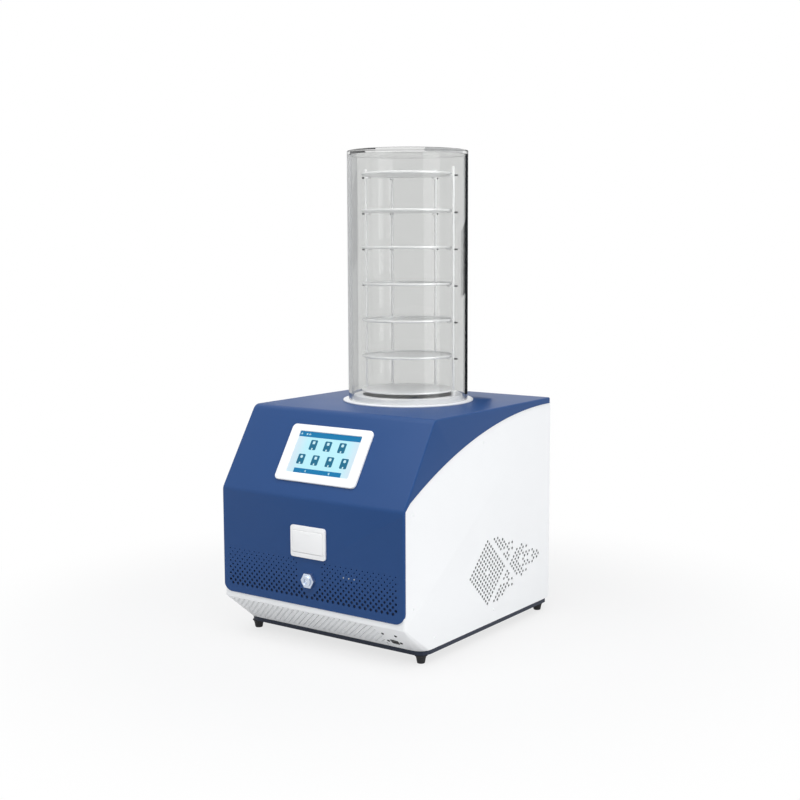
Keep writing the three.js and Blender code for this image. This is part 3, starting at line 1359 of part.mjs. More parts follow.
const hubX = strapX + STRAP_SHEET + FAN_HUB_GAP;
const hubMiddleX = hubX + FAN_HUB_LENGTH / 2;
const fanCentre = new THREE.Matrix4().makeTranslation(hubMiddleX, condenserY, fanZ);
const bladeRoot = FAN_HUB_RADIUS - 4;
const bladeMiddle = (FAN_HUB_RADIUS + FAN_RADIUS) / 2;
const bladeShoulder = FAN_RADIUS - 3;
const bladePlan = [
  [bladeRoot, -FAN_BLADE_ROOT],
  [bladeMiddle, -1],
  [bladeShoulder, -FAN_BLADE_TIP],
  [FAN_RADIUS, 0],
  [bladeShoulder, FAN_BLADE_TIP],
  [bladeMiddle, 1],
  [bladeRoot, FAN_BLADE_ROOT],
].map(([reach, share]) => new THREE.Vector2(reach, (share * FAN_BLADE_WIDTH) / 2));
const bladeGeometry = new THREE.ExtrudeGeometry(new THREE.Shape(bladePlan), {
  depth: FAN_BLADE_SHEET,
  bevelEnabled: false,
  steps: 1,
});
bladeGeometry.translate(0, 0, -FAN_BLADE_SHEET / 2);
const blades = Array.from({ length: FAN_BLADES }, (_, i) => {
  const matrix = fanCentre.clone()
    .multiply(new THREE.Matrix4().makeRotationX((2 * Math.PI * i) / FAN_BLADES))
    .multiply(new THREE.Matrix4().makeBasis(Z_AXIS, Y_AXIS, X_AXIS.clone().negate()))
    .multiply(new THREE.Matrix4().makeRotationX(THREE.MathUtils.degToRad(FAN_BLADE_PITCH)));
  return toSolid(bladeGeometry.clone().applyMatrix4(matrix));
});
const rotor = join(
  bar('x', FAN_HUB_RADIUS, hubX, hubX + FAN_HUB_LENGTH, fanAxis, 24),
  ...blades,
).subtract(bar(
  'x',
  SHAFT_RADIUS + LINE_GAP,
  hubX - 1,
  strapX + SHAFT_LENGTH + LINE_GAP,
  fanAxis,
  12,
));
addPart('fan_rotor', rotor, plasticBlack);

// Filter drier and the copper lines between the refrigeration pieces.
const drierY = TRAP_Y + DRIER_BEHIND_TRAP;
const drierLowZ = PAN_FLOOR_Z + DRIER_LIFT;
const drierHighZ = drierLowZ + DRIER_LENGTH;
const drierNeck = 10;
const drier = turned([
  [0, drierLowZ],
  [LINE_RADIUS, drierLowZ],
  [LINE_RADIUS, drierLowZ + drierNeck],
  [DRIER_RADIUS, drierLowZ + 2 * drierNeck],
  [DRIER_RADIUS, drierHighZ - 2 * drierNeck],
  [LINE_RADIUS, drierHighZ - drierNeck],
  [LINE_RADIUS, drierHighZ],
  [0, drierHighZ],
], 20, DRIER_X, drierY);
addPart('filter_drier', drier, copper);

const passOutY = condenserY + passEnd + LINE_GAP;
const dischargeX = COMPRESSOR_X + stubReach + LINE_GAP;
const shroudRearY = condenserY + shroudHalf;
const discharge = tube(route(
  [dischargeX, compressorY, stubZ],
  [dischargeX + 12, compressorY, stubZ],
  [dischargeX + 45, compressorY + 22, passTopZ],
  [dischargeX + 95, compressorY + 54, passTopZ + 8],
  [condenserX - 50, shroudRearY + 3, passTopZ + 8],
  [condenserX - 18, shroudRearY + 13, passTopZ + 4],
  [condenserX, shroudRearY + 10, passTopZ],
  [condenserX, passOutY, passTopZ],
), LINE_RADIUS, 20, 6);
addPart('discharge_line', discharge, copper);

const liquid = tube(route(
  [condenserX, passOutY, passLowZ],
  [condenserX, passOutY + 10, passLowZ],
  [condenserX - 6, drierY - 18, passLowZ - 5],
  [DRIER_X + 8, drierY - 3, drierLowZ - 22],
  [DRIER_X, drierY, drierLowZ - 8],
  [DRIER_X, drierY, drierLowZ - LINE_GAP],
), LINE_RADIUS, 14, 6);
addPart('liquid_line', liquid, copper);

const capillaryEnd = aroundTrap(coilExit + LINE_GAP, COIL_START - COIL_LEAD, COIL_START_Z);
const capillaryLead = aroundTrap(coilExit + 14, COIL_START - COIL_LEAD, COIL_START_Z);
const capillary = tube(route(
  [DRIER_X, drierY, drierHighZ + LINE_GAP],
  [DRIER_X, drierY, drierHighZ + 12],
  [DRIER_X + 6, drierY - 8, 200],
  [DRIER_X + 4, drierY - 30, 260],
  [DRIER_X - 8, drierY - 50, COIL_START_Z - 8],
  capillaryLead,
  capillaryEnd,
), CAPILLARY_RADIUS, 18, 5);
addPart('capillary_line', capillary, copper);

const suctionStart = aroundTrap(coilExit + LINE_GAP, coilEnd + COIL_LEAD, coilTopZ);
const suctionLead = aroundTrap(coilExit + 8, coilEnd + COIL_LEAD, coilTopZ);
const suctionStubY = compressorY - stubReach - LINE_GAP;
const standFrontY = TRAP_Y - STAND_REACH;
const suction = tube(route(
  suctionStart,
  suctionLead,
  [COMPRESSOR_X - 36, standFrontY - 12, coilTopZ - 40],
  [COMPRESSOR_X - 24, standFrontY - 16, 300],
  [COMPRESSOR_X - 14, standFrontY - 16, STAND_TOP_Z],
  [COMPRESSOR_X - 4, suctionStubY - 50, stubZ + 12],
  [COMPRESSOR_X, suctionStubY - 14, stubZ],
  [COMPRESSOR_X, suctionStubY, stubZ],
), LINE_RADIUS + 0.5, 22, 6);
addPart('suction_line', suction, copper);

// ---- Electrics -------------------------------------------------------------------------
const plateX = -panHalf + TRAY_WALL + PLATE_WALL_GAP;
const plateY0 = panFrontY + TRAY_WALL + PLATE_FRONT_GAP;
const plateY1 = plateY0 + PLATE_WIDTH;
const plateTopZ = PAN_FLOOR_Z + PLATE_HEIGHT;
const boardX = plateX + PLATE_SHEET + BOARD_STANDOFF;
const boardY0 = plateY0 + (PLATE_WIDTH - BOARD_WIDTH) / 2;
const boardZ0 = PAN_FLOOR_Z + BOARD_LIFT;
const standoffInset = 6;
const electronicsPlate = join(
  box(plateX, plateX + PLATE_SHEET, plateY0, plateY1, PAN_FLOOR_Z, plateTopZ),
  box(plateX, plateX + PLATE_FOOT, plateY0, plateY1, PAN_FLOOR_Z, PAN_FLOOR_Z + PLATE_SHEET),
  ...[0, 1].flatMap((i) => [0, 1].map((j) => bar(
    'x',
    3,
    plateX,
    boardX,
    [
      boardY0 + standoffInset + i * (BOARD_WIDTH - 2 * standoffInset),
      boardZ0 + standoffInset + j * (BOARD_HEIGHT - 2 * standoffInset),
    ],
    8,
  ))),
);
addPart('electronics_plate', electronicsPlate, galvanised);

// Components on the board: [along, up, width, height, depth].
const boardPieces = [
  [12, 14, 16, 20, 16],
  [34, 14, 16, 20, 16],
  [56, 14, 16, 20, 16],
  [82, 12, 24, 28, 20],
  [12, 46, 22, 22, 3],
  [44, 48, 14, 14, 12],
  [66, 48, 10, 10, 14],
  [12, 92, 60, 12, 12],
  [80, 60, 26, 40, 8],
];
const board = join(
  box(boardX, boardX + BOARD_SHEET, boardY0, boardY0 + BOARD_WIDTH, boardZ0, boardZ0 + BOARD_HEIGHT),
  ...boardPieces.map(([along, up, width, height, depth]) => box(
    boardX + BOARD_SHEET / 2,
    boardX + BOARD_SHEET + depth,
    boardY0 + along,
    boardY0 + along + width,
    boardZ0 + up,
    boardZ0 + up + height,
  )),
);
addPart('control_board', board, boardGreen);

const supplyX = plateX + PLATE_SHEET;
const supplyY0 = plateY0 + (PLATE_WIDTH - SUPPLY_WIDTH) / 2;
const supplyZ0 = PAN_FLOOR_Z + SUPPLY_LIFT;
const terminalDepth = 14;
const supply = join(
  box(supplyX, supplyX + SUPPLY_DEPTH, supplyY0 + terminalDepth, supplyY0 + SUPPLY_WIDTH, supplyZ0,
    supplyZ0 + SUPPLY_HEIGHT),
  box(supplyX, supplyX + SUPPLY_DEPTH / 2, supplyY0, supplyY0 + terminalDepth + 1, supplyZ0,
    supplyZ0 + SUPPLY_HEIGHT),
);
addPart('power_supply', supply, galvanised);

// Rear panel between the side walls, with cut-outs for the pump port, inlet, switch and vents.
const rearHalf = innerHalf - TRAY_GAP;
const rearLowZ = SHELL_FOOT_Z;
const rearHighZ = TOP_Z - 2 * COVER_SHEET;
const inletZ = SHELL_FOOT_Z + INLET_LIFT;
const switchBodyWidth = SWITCH_WIDTH - 2;
const switchBodyHeight = SWITCH_HEIGHT - 2;
const rearVentX = 100;
const rearVentZ = SHELL_FOOT_Z + 75;
const rearSlotUnit = rectangle(REAR_SLOT_WIDTH, REAR_SLOT_LENGTH, REAR_SLOT_WIDTH / 2, 0, 0, 3);
const rearSlots = prismField(rearSlotUnit, Array.from({ length: REAR_SLOT_ROWS }, (_, i) => (
  new THREE.Matrix4().makeTranslation(
    0,
    REAR_PANEL_Y - REAR_SHEET - 1,
    rearVentZ + (i - (REAR_SLOT_ROWS - 1) / 2) * REAR_SLOT_PITCH,
  ).multiply(ALONG.y).multiply(new THREE.Matrix4().makeTranslation(0, rearVentX, 0))
)), REAR_SHEET + 2);
const rearPanel = box(-rearHalf, rearHalf, REAR_INNER_Y, REAR_PANEL_Y, rearLowZ, rearHighZ)
  .subtract(portHole)
  .subtract(box(
    INLET_X - INLET_BODY_WIDTH / 2 - LINE_GAP,
    INLET_X + INLET_BODY_WIDTH / 2 + LINE_GAP,
    REAR_INNER_Y - 1,
    REAR_PANEL_Y + 1,
    inletZ - INLET_BODY_HEIGHT / 2 - LINE_GAP,
    inletZ + INLET_BODY_HEIGHT / 2 + LINE_GAP,
  ))
  .subtract(box(
    SWITCH_X - switchBodyWidth / 2 - LINE_GAP,
    SWITCH_X + switchBodyWidth / 2 + LINE_GAP,
    REAR_INNER_Y - 1,
    REAR_PANEL_Y + 1,
    inletZ - switchBodyHeight / 2 - LINE_GAP,
    inletZ + switchBodyHeight / 2 + LINE_GAP,
  ))
  .subtract(rearSlots);
addPart('rear_panel', rearPanel, shellWhite);

const recessFloorY = REAR_PANEL_Y + FLANGE_SHEET - INLET_RECESS;
const inletPins = INLET_PINS.map(([across, up]) => box(
  INLET_X + across - INLET_PIN_SHEET / 2,
  INLET_X + across + INLET_PIN_SHEET / 2,
  recessFloorY - 1,
  recessFloorY + INLET_PIN_REACH,
  inletZ + up - INLET_PIN_HEIGHT / 2,
  inletZ + up + INLET_PIN_HEIGHT / 2,
));
const inlet = join(
  prism(
    'y',
    rectangle(INLET_HEIGHT, INLET_WIDTH, 6, inletZ, INLET_X),
    REAR_PANEL_Y,
    REAR_PANEL_Y + FLANGE_SHEET,
  ),
  box(
    INLET_X - INLET_BODY_WIDTH / 2,
    INLET_X + INLET_BODY_WIDTH / 2,
    REAR_PANEL_Y - INLET_DEPTH,
    REAR_PANEL_Y + 1,
    inletZ - INLET_BODY_HEIGHT / 2,
    inletZ + INLET_BODY_HEIGHT / 2,
  ),
).subtract(prism('y', rounded([
  [inletZ - 8, INLET_X - 12],
  [inletZ - 8, INLET_X + 12],
  [inletZ + 4, INLET_X + 12],
  [inletZ + 8, INLET_X + 8],
  [inletZ + 8, INLET_X - 8],
  [inletZ + 4, INLET_X - 12],
]), recessFloorY, REAR_PANEL_Y + FLANGE_SHEET + 1));
addPart('power_inlet', join(inlet, ...inletPins), plasticBlack);

const wellHalfWidth = switchBodyWidth / 2 - SWITCH_WALL;
const wellHalfHeight = switchBodyHeight / 2 - SWITCH_WALL;
const rockerAxisY = REAR_PANEL_Y - 1;
const rockerAxis = [rockerAxisY, inletZ];
const pinReachOut = wellHalfWidth + SWITCH_WALL / 2;
const switchBody = join(
  prism(
    'y',
    rectangle(SWITCH_HEIGHT, SWITCH_WIDTH, 2, inletZ, SWITCH_X),
    REAR_PANEL_Y,
    REAR_PANEL_Y + FLANGE_SHEET,
  ),
  box(
    SWITCH_X - switchBodyWidth / 2,
    SWITCH_X + switchBodyWidth / 2,
    REAR_PANEL_Y - SWITCH_DEPTH,
    REAR_PANEL_Y + 1,
    inletZ - switchBodyHeight / 2,
    inletZ + switchBodyHeight / 2,
  ),
).subtract(box(
  SWITCH_X - wellHalfWidth,
  SWITCH_X + wellHalfWidth,
  REAR_PANEL_Y - SWITCH_WELL_DEPTH,
  REAR_PANEL_Y + FLANGE_SHEET + 1,
  inletZ - wellHalfHeight,
  inletZ + wellHalfHeight,
)).subtract(bar(
  'x',
  ROCKER_PIN + LINE_GAP,
  SWITCH_X - pinReachOut - LINE_GAP,
  SWITCH_X + pinReachOut + LINE_GAP,
  rockerAxis,
  12,
));
addPart('switch_body', switchBody, plasticBlack);

const rockerHalf = wellHalfHeight - ROCKER_GAP;
const rockerWidth = wellHalfWidth - PIN_CLEARANCE;
const [rockerRim, rockerDip, rockerCorner, rockerFlank, rockerKeel] = ROCKER_PROFILE;
const rockerShoulder = rockerHalf - (rockerRim - rockerCorner) * 1.5;
const rockerOutline = [
  [rockerRim, rockerShoulder],
  [rockerDip, 0],
  [rockerRim, -rockerShoulder],
  [rockerCorner, -rockerHalf],
  [-rockerFlank, -rockerHalf],
  [-rockerKeel, 0],
  [-rockerFlank, rockerHalf],
  [rockerCorner, rockerHalf],
].map(([y, z]) => new THREE.Vector2(rockerAxisY + y, inletZ + z));
const rocker = join(
  prism('x', rockerOutline, SWITCH_X - rockerWidth, SWITCH_X + rockerWidth),
  bar('x', ROCKER_PIN, SWITCH_X - pinReachOut, SWITCH_X + pinReachOut, rockerAxis, 12),
);
addPart('power_rocker', rocker, plasticBlack);

// Socket on the chin: its flange sits behind the white wall, its nose in the opening.
const noseWidth = SOCKET_WIDTH - 2 * LINE_GAP;
const noseHeight = SOCKET_HEIGHT - 2 * LINE_GAP;
const socket = join(
  prism(
    'z',
    rectangle(SOCKET_PLATE_WIDTH, SOCKET_PLATE_HEIGHT, 3, SOCKET_X, SOCKET_RISE, 3),
    -SHELL_WALL - SEAT_GAP - FLANGE_SHEET,
    -SHELL_WALL - SEAT_GAP,
  ),
  prism(
    'z',
    rectangle(noseWidth, noseHeight, 2, SOCKET_X, SOCKET_RISE, 3),
    -SOCKET_DEPTH,
    -SEAT_GAP,
  ),
).subtract(prism(
  'z',
  rectangle(noseWidth - 2 * SOCKET_RIM, noseHeight - 2 * SOCKET_RIM, 0, SOCKET_X, SOCKET_RISE),
  SOCKET_FLOOR - SOCKET_DEPTH,
  1,
)).add(prism(
  'z',
  rectangle(noseWidth - 4 * SOCKET_RIM, SOCKET_TONGUE, 0, SOCKET_X, SOCKET_RISE),
  SOCKET_FLOOR - SOCKET_DEPTH - 1,
  -2 * SOCKET_RIM,
));
addPart('data_port', socket, plasticBlack, chin);

export default model;
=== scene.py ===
"""Looks for a bench-top freeze dryer: cover, clear chamber, rack, screen, vents and studio."""

import json
import math

import bpy
from bpy.props import FloatProperty, FloatVectorProperty, IntProperty, PointerProperty
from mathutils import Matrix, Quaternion, Vector

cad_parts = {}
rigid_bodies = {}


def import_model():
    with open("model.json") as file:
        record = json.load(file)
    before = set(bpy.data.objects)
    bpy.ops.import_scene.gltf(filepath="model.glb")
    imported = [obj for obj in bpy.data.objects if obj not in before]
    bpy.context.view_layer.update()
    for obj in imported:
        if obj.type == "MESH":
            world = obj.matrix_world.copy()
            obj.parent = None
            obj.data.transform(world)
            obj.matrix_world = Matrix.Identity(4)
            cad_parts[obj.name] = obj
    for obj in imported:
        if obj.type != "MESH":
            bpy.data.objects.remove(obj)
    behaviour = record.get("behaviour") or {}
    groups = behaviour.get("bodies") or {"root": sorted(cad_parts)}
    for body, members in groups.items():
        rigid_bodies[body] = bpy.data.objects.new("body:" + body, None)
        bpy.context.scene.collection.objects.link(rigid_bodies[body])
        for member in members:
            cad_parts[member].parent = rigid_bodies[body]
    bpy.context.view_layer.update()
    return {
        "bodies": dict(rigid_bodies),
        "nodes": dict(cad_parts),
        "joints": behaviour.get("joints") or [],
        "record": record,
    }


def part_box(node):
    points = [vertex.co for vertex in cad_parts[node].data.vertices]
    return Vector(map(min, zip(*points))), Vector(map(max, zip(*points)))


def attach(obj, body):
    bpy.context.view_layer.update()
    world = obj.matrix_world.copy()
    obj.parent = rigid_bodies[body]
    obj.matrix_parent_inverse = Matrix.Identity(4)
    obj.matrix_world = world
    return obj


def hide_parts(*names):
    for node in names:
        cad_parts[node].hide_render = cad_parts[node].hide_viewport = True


bl_info = {
    "name": "Freeze Dryer Looks",
    "version": (1, 0, 0),
    "blender": (4, 5, 0),
    "location": "3D View > Sidebar > Freeze Dryer",
    "description": "Models the fine surfaces of a bench-top freeze dryer round its packed frame",
    "category": "Object",
}

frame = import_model()

MM = 0.001
UPRIGHT = math.radians(90)
SLOPE_TILT = math.radians(57.4)
COVER_LOW, COVER_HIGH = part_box("front_cover")
SHELL_LOW, SHELL_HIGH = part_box("lower_shell")
REAR_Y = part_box("rear_panel")[1].y
RING_LOW, RING_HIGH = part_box("seal_ring")
BELL_LOW, BELL_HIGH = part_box("acrylic_chamber")
GLASS_LOW, GLASS_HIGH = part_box("touch_panel")
FITTING_LOW, FITTING_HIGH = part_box("drain_fitting")
CHAMBER_X = (BELL_LOW.x + BELL_HIGH.x) / 2
CHAMBER_Y = (BELL_LOW.y + BELL_HIGH.y) / 2
BELL_RADIUS = (BELL_HIGH.x - BELL_LOW.x) / 2
GLASS_MIDDLE = (GLASS_LOW + GLASS_HIGH) / 2
DRAIN_Z = (FITTING_LOW.z + FITTING_HIGH.z) / 2
FRONT_Y = COVER_LOW.y
ROOT = next(b for b in frame["bodies"] if b not in {j["child"] for j in frame["joints"]})


# ---- Settings a user would change --------------------------------------------------------
def size_in_mm(name, description, size):
    return FloatProperty(name=name, description=description, default=size * MM, unit="LENGTH")


def hue(name, description, colour):
    return FloatVectorProperty(
        name=name, description=description, subtype="COLOR", size=3, default=colour)


def watts(name, description, power):
    return FloatProperty(name=name, description=description, default=power, unit="POWER")


class CabinetSettings(bpy.types.PropertyGroup):
    """Sizes of the vents and fasteners on the cabinet."""

    vent_pitch: size_in_mm("Vent pitch", "Distance between holes in a row of the front vent", 12.05)
    vent_rows: IntProperty(
        name="Vent rows", description="Rows of holes in the front vent", default=12, min=1)
    vent_hole: size_in_mm("Vent hole", "Hole diameter in the lowest row", 6.0)
    vent_hole_top: size_in_mm("Top vent hole", "Hole diameter in the highest row", 2.3)
    side_step: size_in_mm("Side vent step", "Half the distance between holes of the side vent", 6.0)
    side_hole: size_in_mm("Side vent hole", "Hole diameter in the side vent", 5.9)
    chin_hole: size_in_mm("Chin vent hole", "Hole diameter in the chin's vent", 3.7)
    screw_radius: size_in_mm("Screw radius", "Head radius of the cabinet's screws", 2.6)


class ColourSettings(bpy.types.PropertyGroup):
    """Colours of the finishes."""

    cover: hue("Cover", "Powder coat on the folded cover", (0.012, 0.056, 0.186))
    body: hue("Body", "Powder coat on the white body", (0.88, 0.885, 0.89))
    pan: hue("Base pan", "Powder coat on the base pan", (0.02, 0.026, 0.045))
    screen: hue("Screen", "Lit ground of the touch screen", (0.53, 0.91, 1.0))
    bars: hue("Screen bars", "Bars along the top and bottom of the picture", (0.005, 0.2, 0.44))
    buttons: hue("Screen buttons", "Buttons on the picture", (0.013, 0.16, 0.28))


class StudioSettings(bpy.types.PropertyGroup):
    """Camera and light."""

    lens: FloatProperty(
        name="Lens", description="Focal length on a 36 mm sensor", default=58.33, unit="CAMERA")
    overhead: watts("Overhead light", "Power of the large light above", 74)
    side: watts("Side light", "Power of the light at the right", 28)
    front: watts("Front light", "Power of the light at the front left", 4)


# ---- Modelling by hand -------------------------------------------------------------------
def drop_selection():
    if bpy.context.object and bpy.context.object.mode != "OBJECT":
        bpy.ops.object.mode_set(mode="OBJECT")
    bpy.ops.object.select_all(action="DESELECT")


def take(*objects):
    """Selects only these objects, the first one active."""
    drop_selection()
    for obj in objects:
        obj.select_set(True)
    bpy.context.view_layer.objects.active = objects[0]
    return objects[0]


def fresh(name):
    obj = bpy.context.object
    obj.name = name
    obj.data.name = name
    return obj


def settle(obj):
    """Puts the object's place, turn and scale into its mesh."""
    take(obj)
    bpy.ops.object.transform_apply(location=True, rotation=True, scale=True)
    return obj


def place(obj, centre, tilt=0.0, heading=0.0):
    """Moves a piece built at the origin to its place, tilted about X and turned about Z."""
    obj.rotation_mode = "XYZ"
    obj.rotation_euler = (tilt, 0, heading)
    obj.location = centre
    return settle(obj)


def pick(obj, kind, test):
    """Enters edit mode with only those vertices, edges or faces selected whose middle passes."""
    take(obj)
    bpy.ops.object.mode_set(mode="EDIT")
    bpy.ops.mesh.select_mode(type=kind)
    bpy.ops.mesh.select_all(action="DESELECT")
    bpy.ops.object.mode_set(mode="OBJECT")
    mesh = obj.data
    if kind == "VERT":
        for vertex in mesh.vertices:
            vertex.select = test(vertex.co, vertex.normal)
    elif kind == "EDGE":
        for edge in mesh.edges:
            start, end = (mesh.vertices[i].co for i in edge.vertices)
            edge.select = test((start + end) / 2, (end - start).normalized())
    else:
        for face in mesh.polygons:
            face.select = test(face.center, face.normal)
    bpy.ops.object.mode_set(mode="EDIT")


def leave_edit():
    bpy.ops.object.mode_set(mode="OBJECT")


def clean(obj, outward=True):
    """Merges doubled points and, on a plain closed form, turns all faces outwards."""
    take(obj)
    bpy.ops.object.mode_set(mode="EDIT")
    bpy.ops.mesh.select_all(action="SELECT")
    bpy.ops.mesh.remove_doubles(threshold=1e-6)
    if outward:
        bpy.ops.mesh.normals_make_consistent(inside=False)
    leave_edit()
    return obj


def smooth(obj, degrees=32):
    take(obj)
    bpy.ops.object.shade_smooth_by_angle(angle=math.radians(degrees))
    return obj


def apply_modifier(obj, kind, **settings):
    take(obj)
    modifier = obj.modifiers.new(kind.lower(), kind)
    for key, value in settings.items():
        setattr(modifier, key, value)
    bpy.ops.object.modifier_apply(modifier=modifier.name)
    return obj


def cut(obj, cutter):
    """Cuts one closed piece out of another and removes the cutter."""
    apply_modifier(obj, "BOOLEAN", operation="DIFFERENCE", object=cutter, solver="MANIFOLD")
    bpy.data.objects.remove(cutter)
    return obj


def unite(obj, addition):
    """Joins one closed piece to another where they overlap and removes the addition."""
    apply_modifier(obj, "BOOLEAN", operation="UNION", object=addition, solver="MANIFOLD")
    bpy.data.objects.remove(addition)
    return obj


def merge(name, objects):
    take(*objects)
    if len(objects) > 1:
        bpy.ops.object.join()
    return fresh(name)


def twin(obj, name):
    """Copy of a piece, with a mesh of its own."""
    copy = obj.copy()
    copy.data = obj.data.copy()
    copy.name = name
    copy.data.name = name
    bpy.context.collection.objects.link(copy)
    return copy


def from_node(node, name):
    """Merged copy of a CAD node's mesh, for finer work."""
    mesh = frame["nodes"][node].data.copy()
    obj = bpy.data.objects.new(name, mesh)
    bpy.context.collection.objects.link(obj)
    return clean(obj, outward=False)


def turned(name, outline, steps=96, centre=(0.0, 0.0), closed=True):
    """Spins a [radius, height] outline about the upright axis through centre."""
    drop_selection()
    start = outline[0]
    bpy.ops.mesh.primitive_plane_add(size=MM, location=(centre[0] + start[0], centre[1], start[1]))
    obj = fresh(name)
    bpy.ops.object.mode_set(mode="EDIT")
    bpy.ops.mesh.select_mode(type="VERT")
    bpy.ops.mesh.select_all(action="SELECT")
    bpy.ops.mesh.merge(type="CENTER")
    route = list(outline[1:]) + ([start] if closed else [])
    here = start
    for point in route:
        step = (point[0] - here[0], 0, point[1] - here[1])
        bpy.ops.mesh.extrude_region_move(TRANSFORM_OT_translate={"value": step})
        here = point
    bpy.ops.mesh.select_all(action="SELECT")
    bpy.ops.mesh.spin(
        steps=steps, angle=2 * math.pi, center=(centre[0], centre[1], 0), axis=(0, 0, 1))
    leave_edit()
    settle(obj)
    return clean(obj)


def arc(centre, radius, first, last, steps=6):
    """Points on a round corner of an outline, angles in degrees."""
    return [
        (centre[0] + radius * math.cos(math.radians(first + (last - first) * i / steps)),
         centre[1] + radius * math.sin(math.radians(first + (last - first) * i / steps)))
        for i in range(steps + 1)]


def soften(obj, test, offset, segments):
    """Rounds the edges whose middle and direction pass."""
    pick(obj, "EDGE", test)
    bpy.ops.mesh.bevel(offset=offset, segments=segments, affect="EDGES")
    leave_edit()
    return obj


def drum(name, sides, radius, depth, **where):
    """Plain closed cylinder, for a cutter or as the start of a finer piece."""
    drop_selection()
    bpy.ops.mesh.primitive_cylinder_add(vertices=sides, radius=radius, depth=depth, **where)
    return settle(fresh(name))


def plate(name, width, height, depth, corner, edge):
    """Rounded plate centred at the origin, its face towards +Z with a softened rim."""
    drop_selection()
    bpy.ops.mesh.primitive_cube_add(size=1)
    obj = fresh(name)
    obj.scale = (width, height, depth)
    settle(obj)
    soften(obj, lambda middle, way: abs(way.z) > 0.9, corner, 8)
    return soften(
        obj, lambda middle, way: abs(way.z) < 0.1 and middle.z > depth / 2 - 1e-6, edge, 3)


def rod(name, radius, start, end, sides, edge):
    """Round bar between two points, with softened ends."""
    start, end = Vector(start), Vector(end)
    obj = drum(
        name, sides, radius, (end - start).length, location=(start + end) / 2,
        rotation=(end - start).to_track_quat("Z", "Y").to_euler())
    along = (end - start).normalized()
    pick(obj, "FACE", lambda middle, normal: abs(normal.dot(along)) > 0.9)
    bpy.ops.mesh.region_to_loop()
    bpy.ops.mesh.bevel(offset=edge, segments=3, affect="EDGES")
    leave_edit()
    return settle(obj)


def finish_piece(obj, slot, *nodes, finish=None, body=ROOT, degrees=32):
    """Gives a piece its finish, body, material slot and the nodes it stands for."""
    smooth(obj, degrees)
    obj.data.materials.clear()
    obj.data.materials.append(FINISHES[finish or slot])
    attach(obj, body)
    if nodes:
        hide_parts(*nodes)
    return obj


# ---- Materials ---------------------------------------------------------------------------
def new_material(name, colour, roughness, **sockets):
    material = bpy.data.materials.new(name)
    material.use_nodes = True
    material.diffuse_color = (*colour, 1)
    shader = material.node_tree.nodes["Principled BSDF"]
    shader.inputs["Base Color"].default_value = (*colour, 1)
    shader.inputs["Roughness"].default_value = roughness
    for socket, value in sockets.items():
        shader.inputs[socket.replace("_", " ")].default_value = value
    return material, shader


def feed(tree, socket, value):
    """Sets a socket to a constant, or links another node's output to it."""
    if isinstance(value, bpy.types.NodeSocket):
        tree.links.new(value, socket)
    else:
        socket.default_value = value


def add_node(tree, kind, inputs=None, **settings):
    made = tree.nodes.new(kind)
    for key, value in settings.items():
        setattr(made, key, value)
    for key, value in (inputs or {}).items():
        feed(tree, made.inputs[key], value)
    return made


def coordinates(material, stretch=(1, 1, 1)):
    tree = material.node_tree
    source = add_node(tree, "ShaderNodeTexCoord")
    return add_node(tree, "ShaderNodeMapping", {
        "Vector": source.outputs["Object"], "Scale": stretch}).outputs["Vector"]


def noise(material, vector, scale, detail=3.0):
    return add_node(material.node_tree, "ShaderNodeTexNoise", {
        "Vector": vector, "Scale": scale, "Detail": detail}).outputs["Fac"]


def vary_colour(material, shader, factor, colour, spread):
    """Lets the base colour drift a little either way."""
    ramp = add_node(material.node_tree, "ShaderNodeValToRGB", {"Fac": factor})
    for element, position, share in zip(
            ramp.color_ramp.elements, (0.3, 0.7), (1 - spread, 1 + spread)):
        element.position = position
        element.color = (*[min(1, c * share) for c in colour], 1)
    feed(material.node_tree, shader.inputs["Base Color"], ramp.outputs["Color"])


def vary_roughness(material, shader, factor, low, high):
    spread = add_node(material.node_tree, "ShaderNodeMapRange", {
        "Value": factor, "To Min": low, "To Max": high})
    feed(material.node_tree, shader.inputs["Roughness"], spread.outputs["Result"])


def raise_grain(material, shader, height, strength, distance):
    bump = add_node(material.node_tree, "ShaderNodeBump", {
        "Height": height, "Strength": strength, "Distance": distance})
    feed(material.node_tree, shader.inputs["Normal"], bump.outputs["Normal"])


def soft_step(tree, value, near, far, least=0.0):
    """Share that grows smoothly from the least at near to all at far."""
    return add_node(tree, "ShaderNodeMapRange", {
        "Value": value, "From Min": near, "From Max": far, "To Min": least},
        interpolation_type="SMOOTHSTEP").outputs["Result"]


def powder_coat(name, colour, roughness, spread=0.02, shine=0.25):
    """Sprayed and baked paint: even colour over a faint orange-peel surface."""
    material, shader = new_material(name, colour, roughness, Specular_IOR_Level=shine)
    vector = coordinates(material)
    vary_colour(material, shader, noise(material, vector, 6), colour, spread)
    grain = noise(material, vector, 900, 2)
    vary_roughness(material, shader, grain, roughness - 0.06, roughness + 0.06)
    raise_grain(material, shader, grain, 0.12, 0.05 * MM)
    return material


def moulded(name, colour, roughness, grain=1400, depth=0.1, spread=0.015):
    """Moulded plastic, rubber or foam, with a fine even grain."""
    material, shader = new_material(name, colour, roughness)
    vector = coordinates(material)
    vary_colour(material, shader, noise(material, vector, 14), colour, spread)
    surface = noise(material, vector, grain, 2)
    vary_roughness(material, shader, surface, roughness - 0.05, roughness + 0.05)
    raise_grain(material, shader, surface, depth, 0.08 * MM)
    return material


def brushed(name, colour, roughness, stretch, metallic=1.0):
    """Metal with a drawn or brushed surface: streaks run where stretch is small."""
    material, shader = new_material(name, colour, roughness, Metallic=metallic)
    vector = coordinates(material, stretch)
    streak = noise(material, vector, 60, 4)
    vary_colour(material, shader, streak, colour, 0.05)
    vary_roughness(material, shader, streak, roughness - 0.08, roughness + 0.1)
    raise_grain(material, shader, streak, 0.08, 0.05 * MM)
    return material


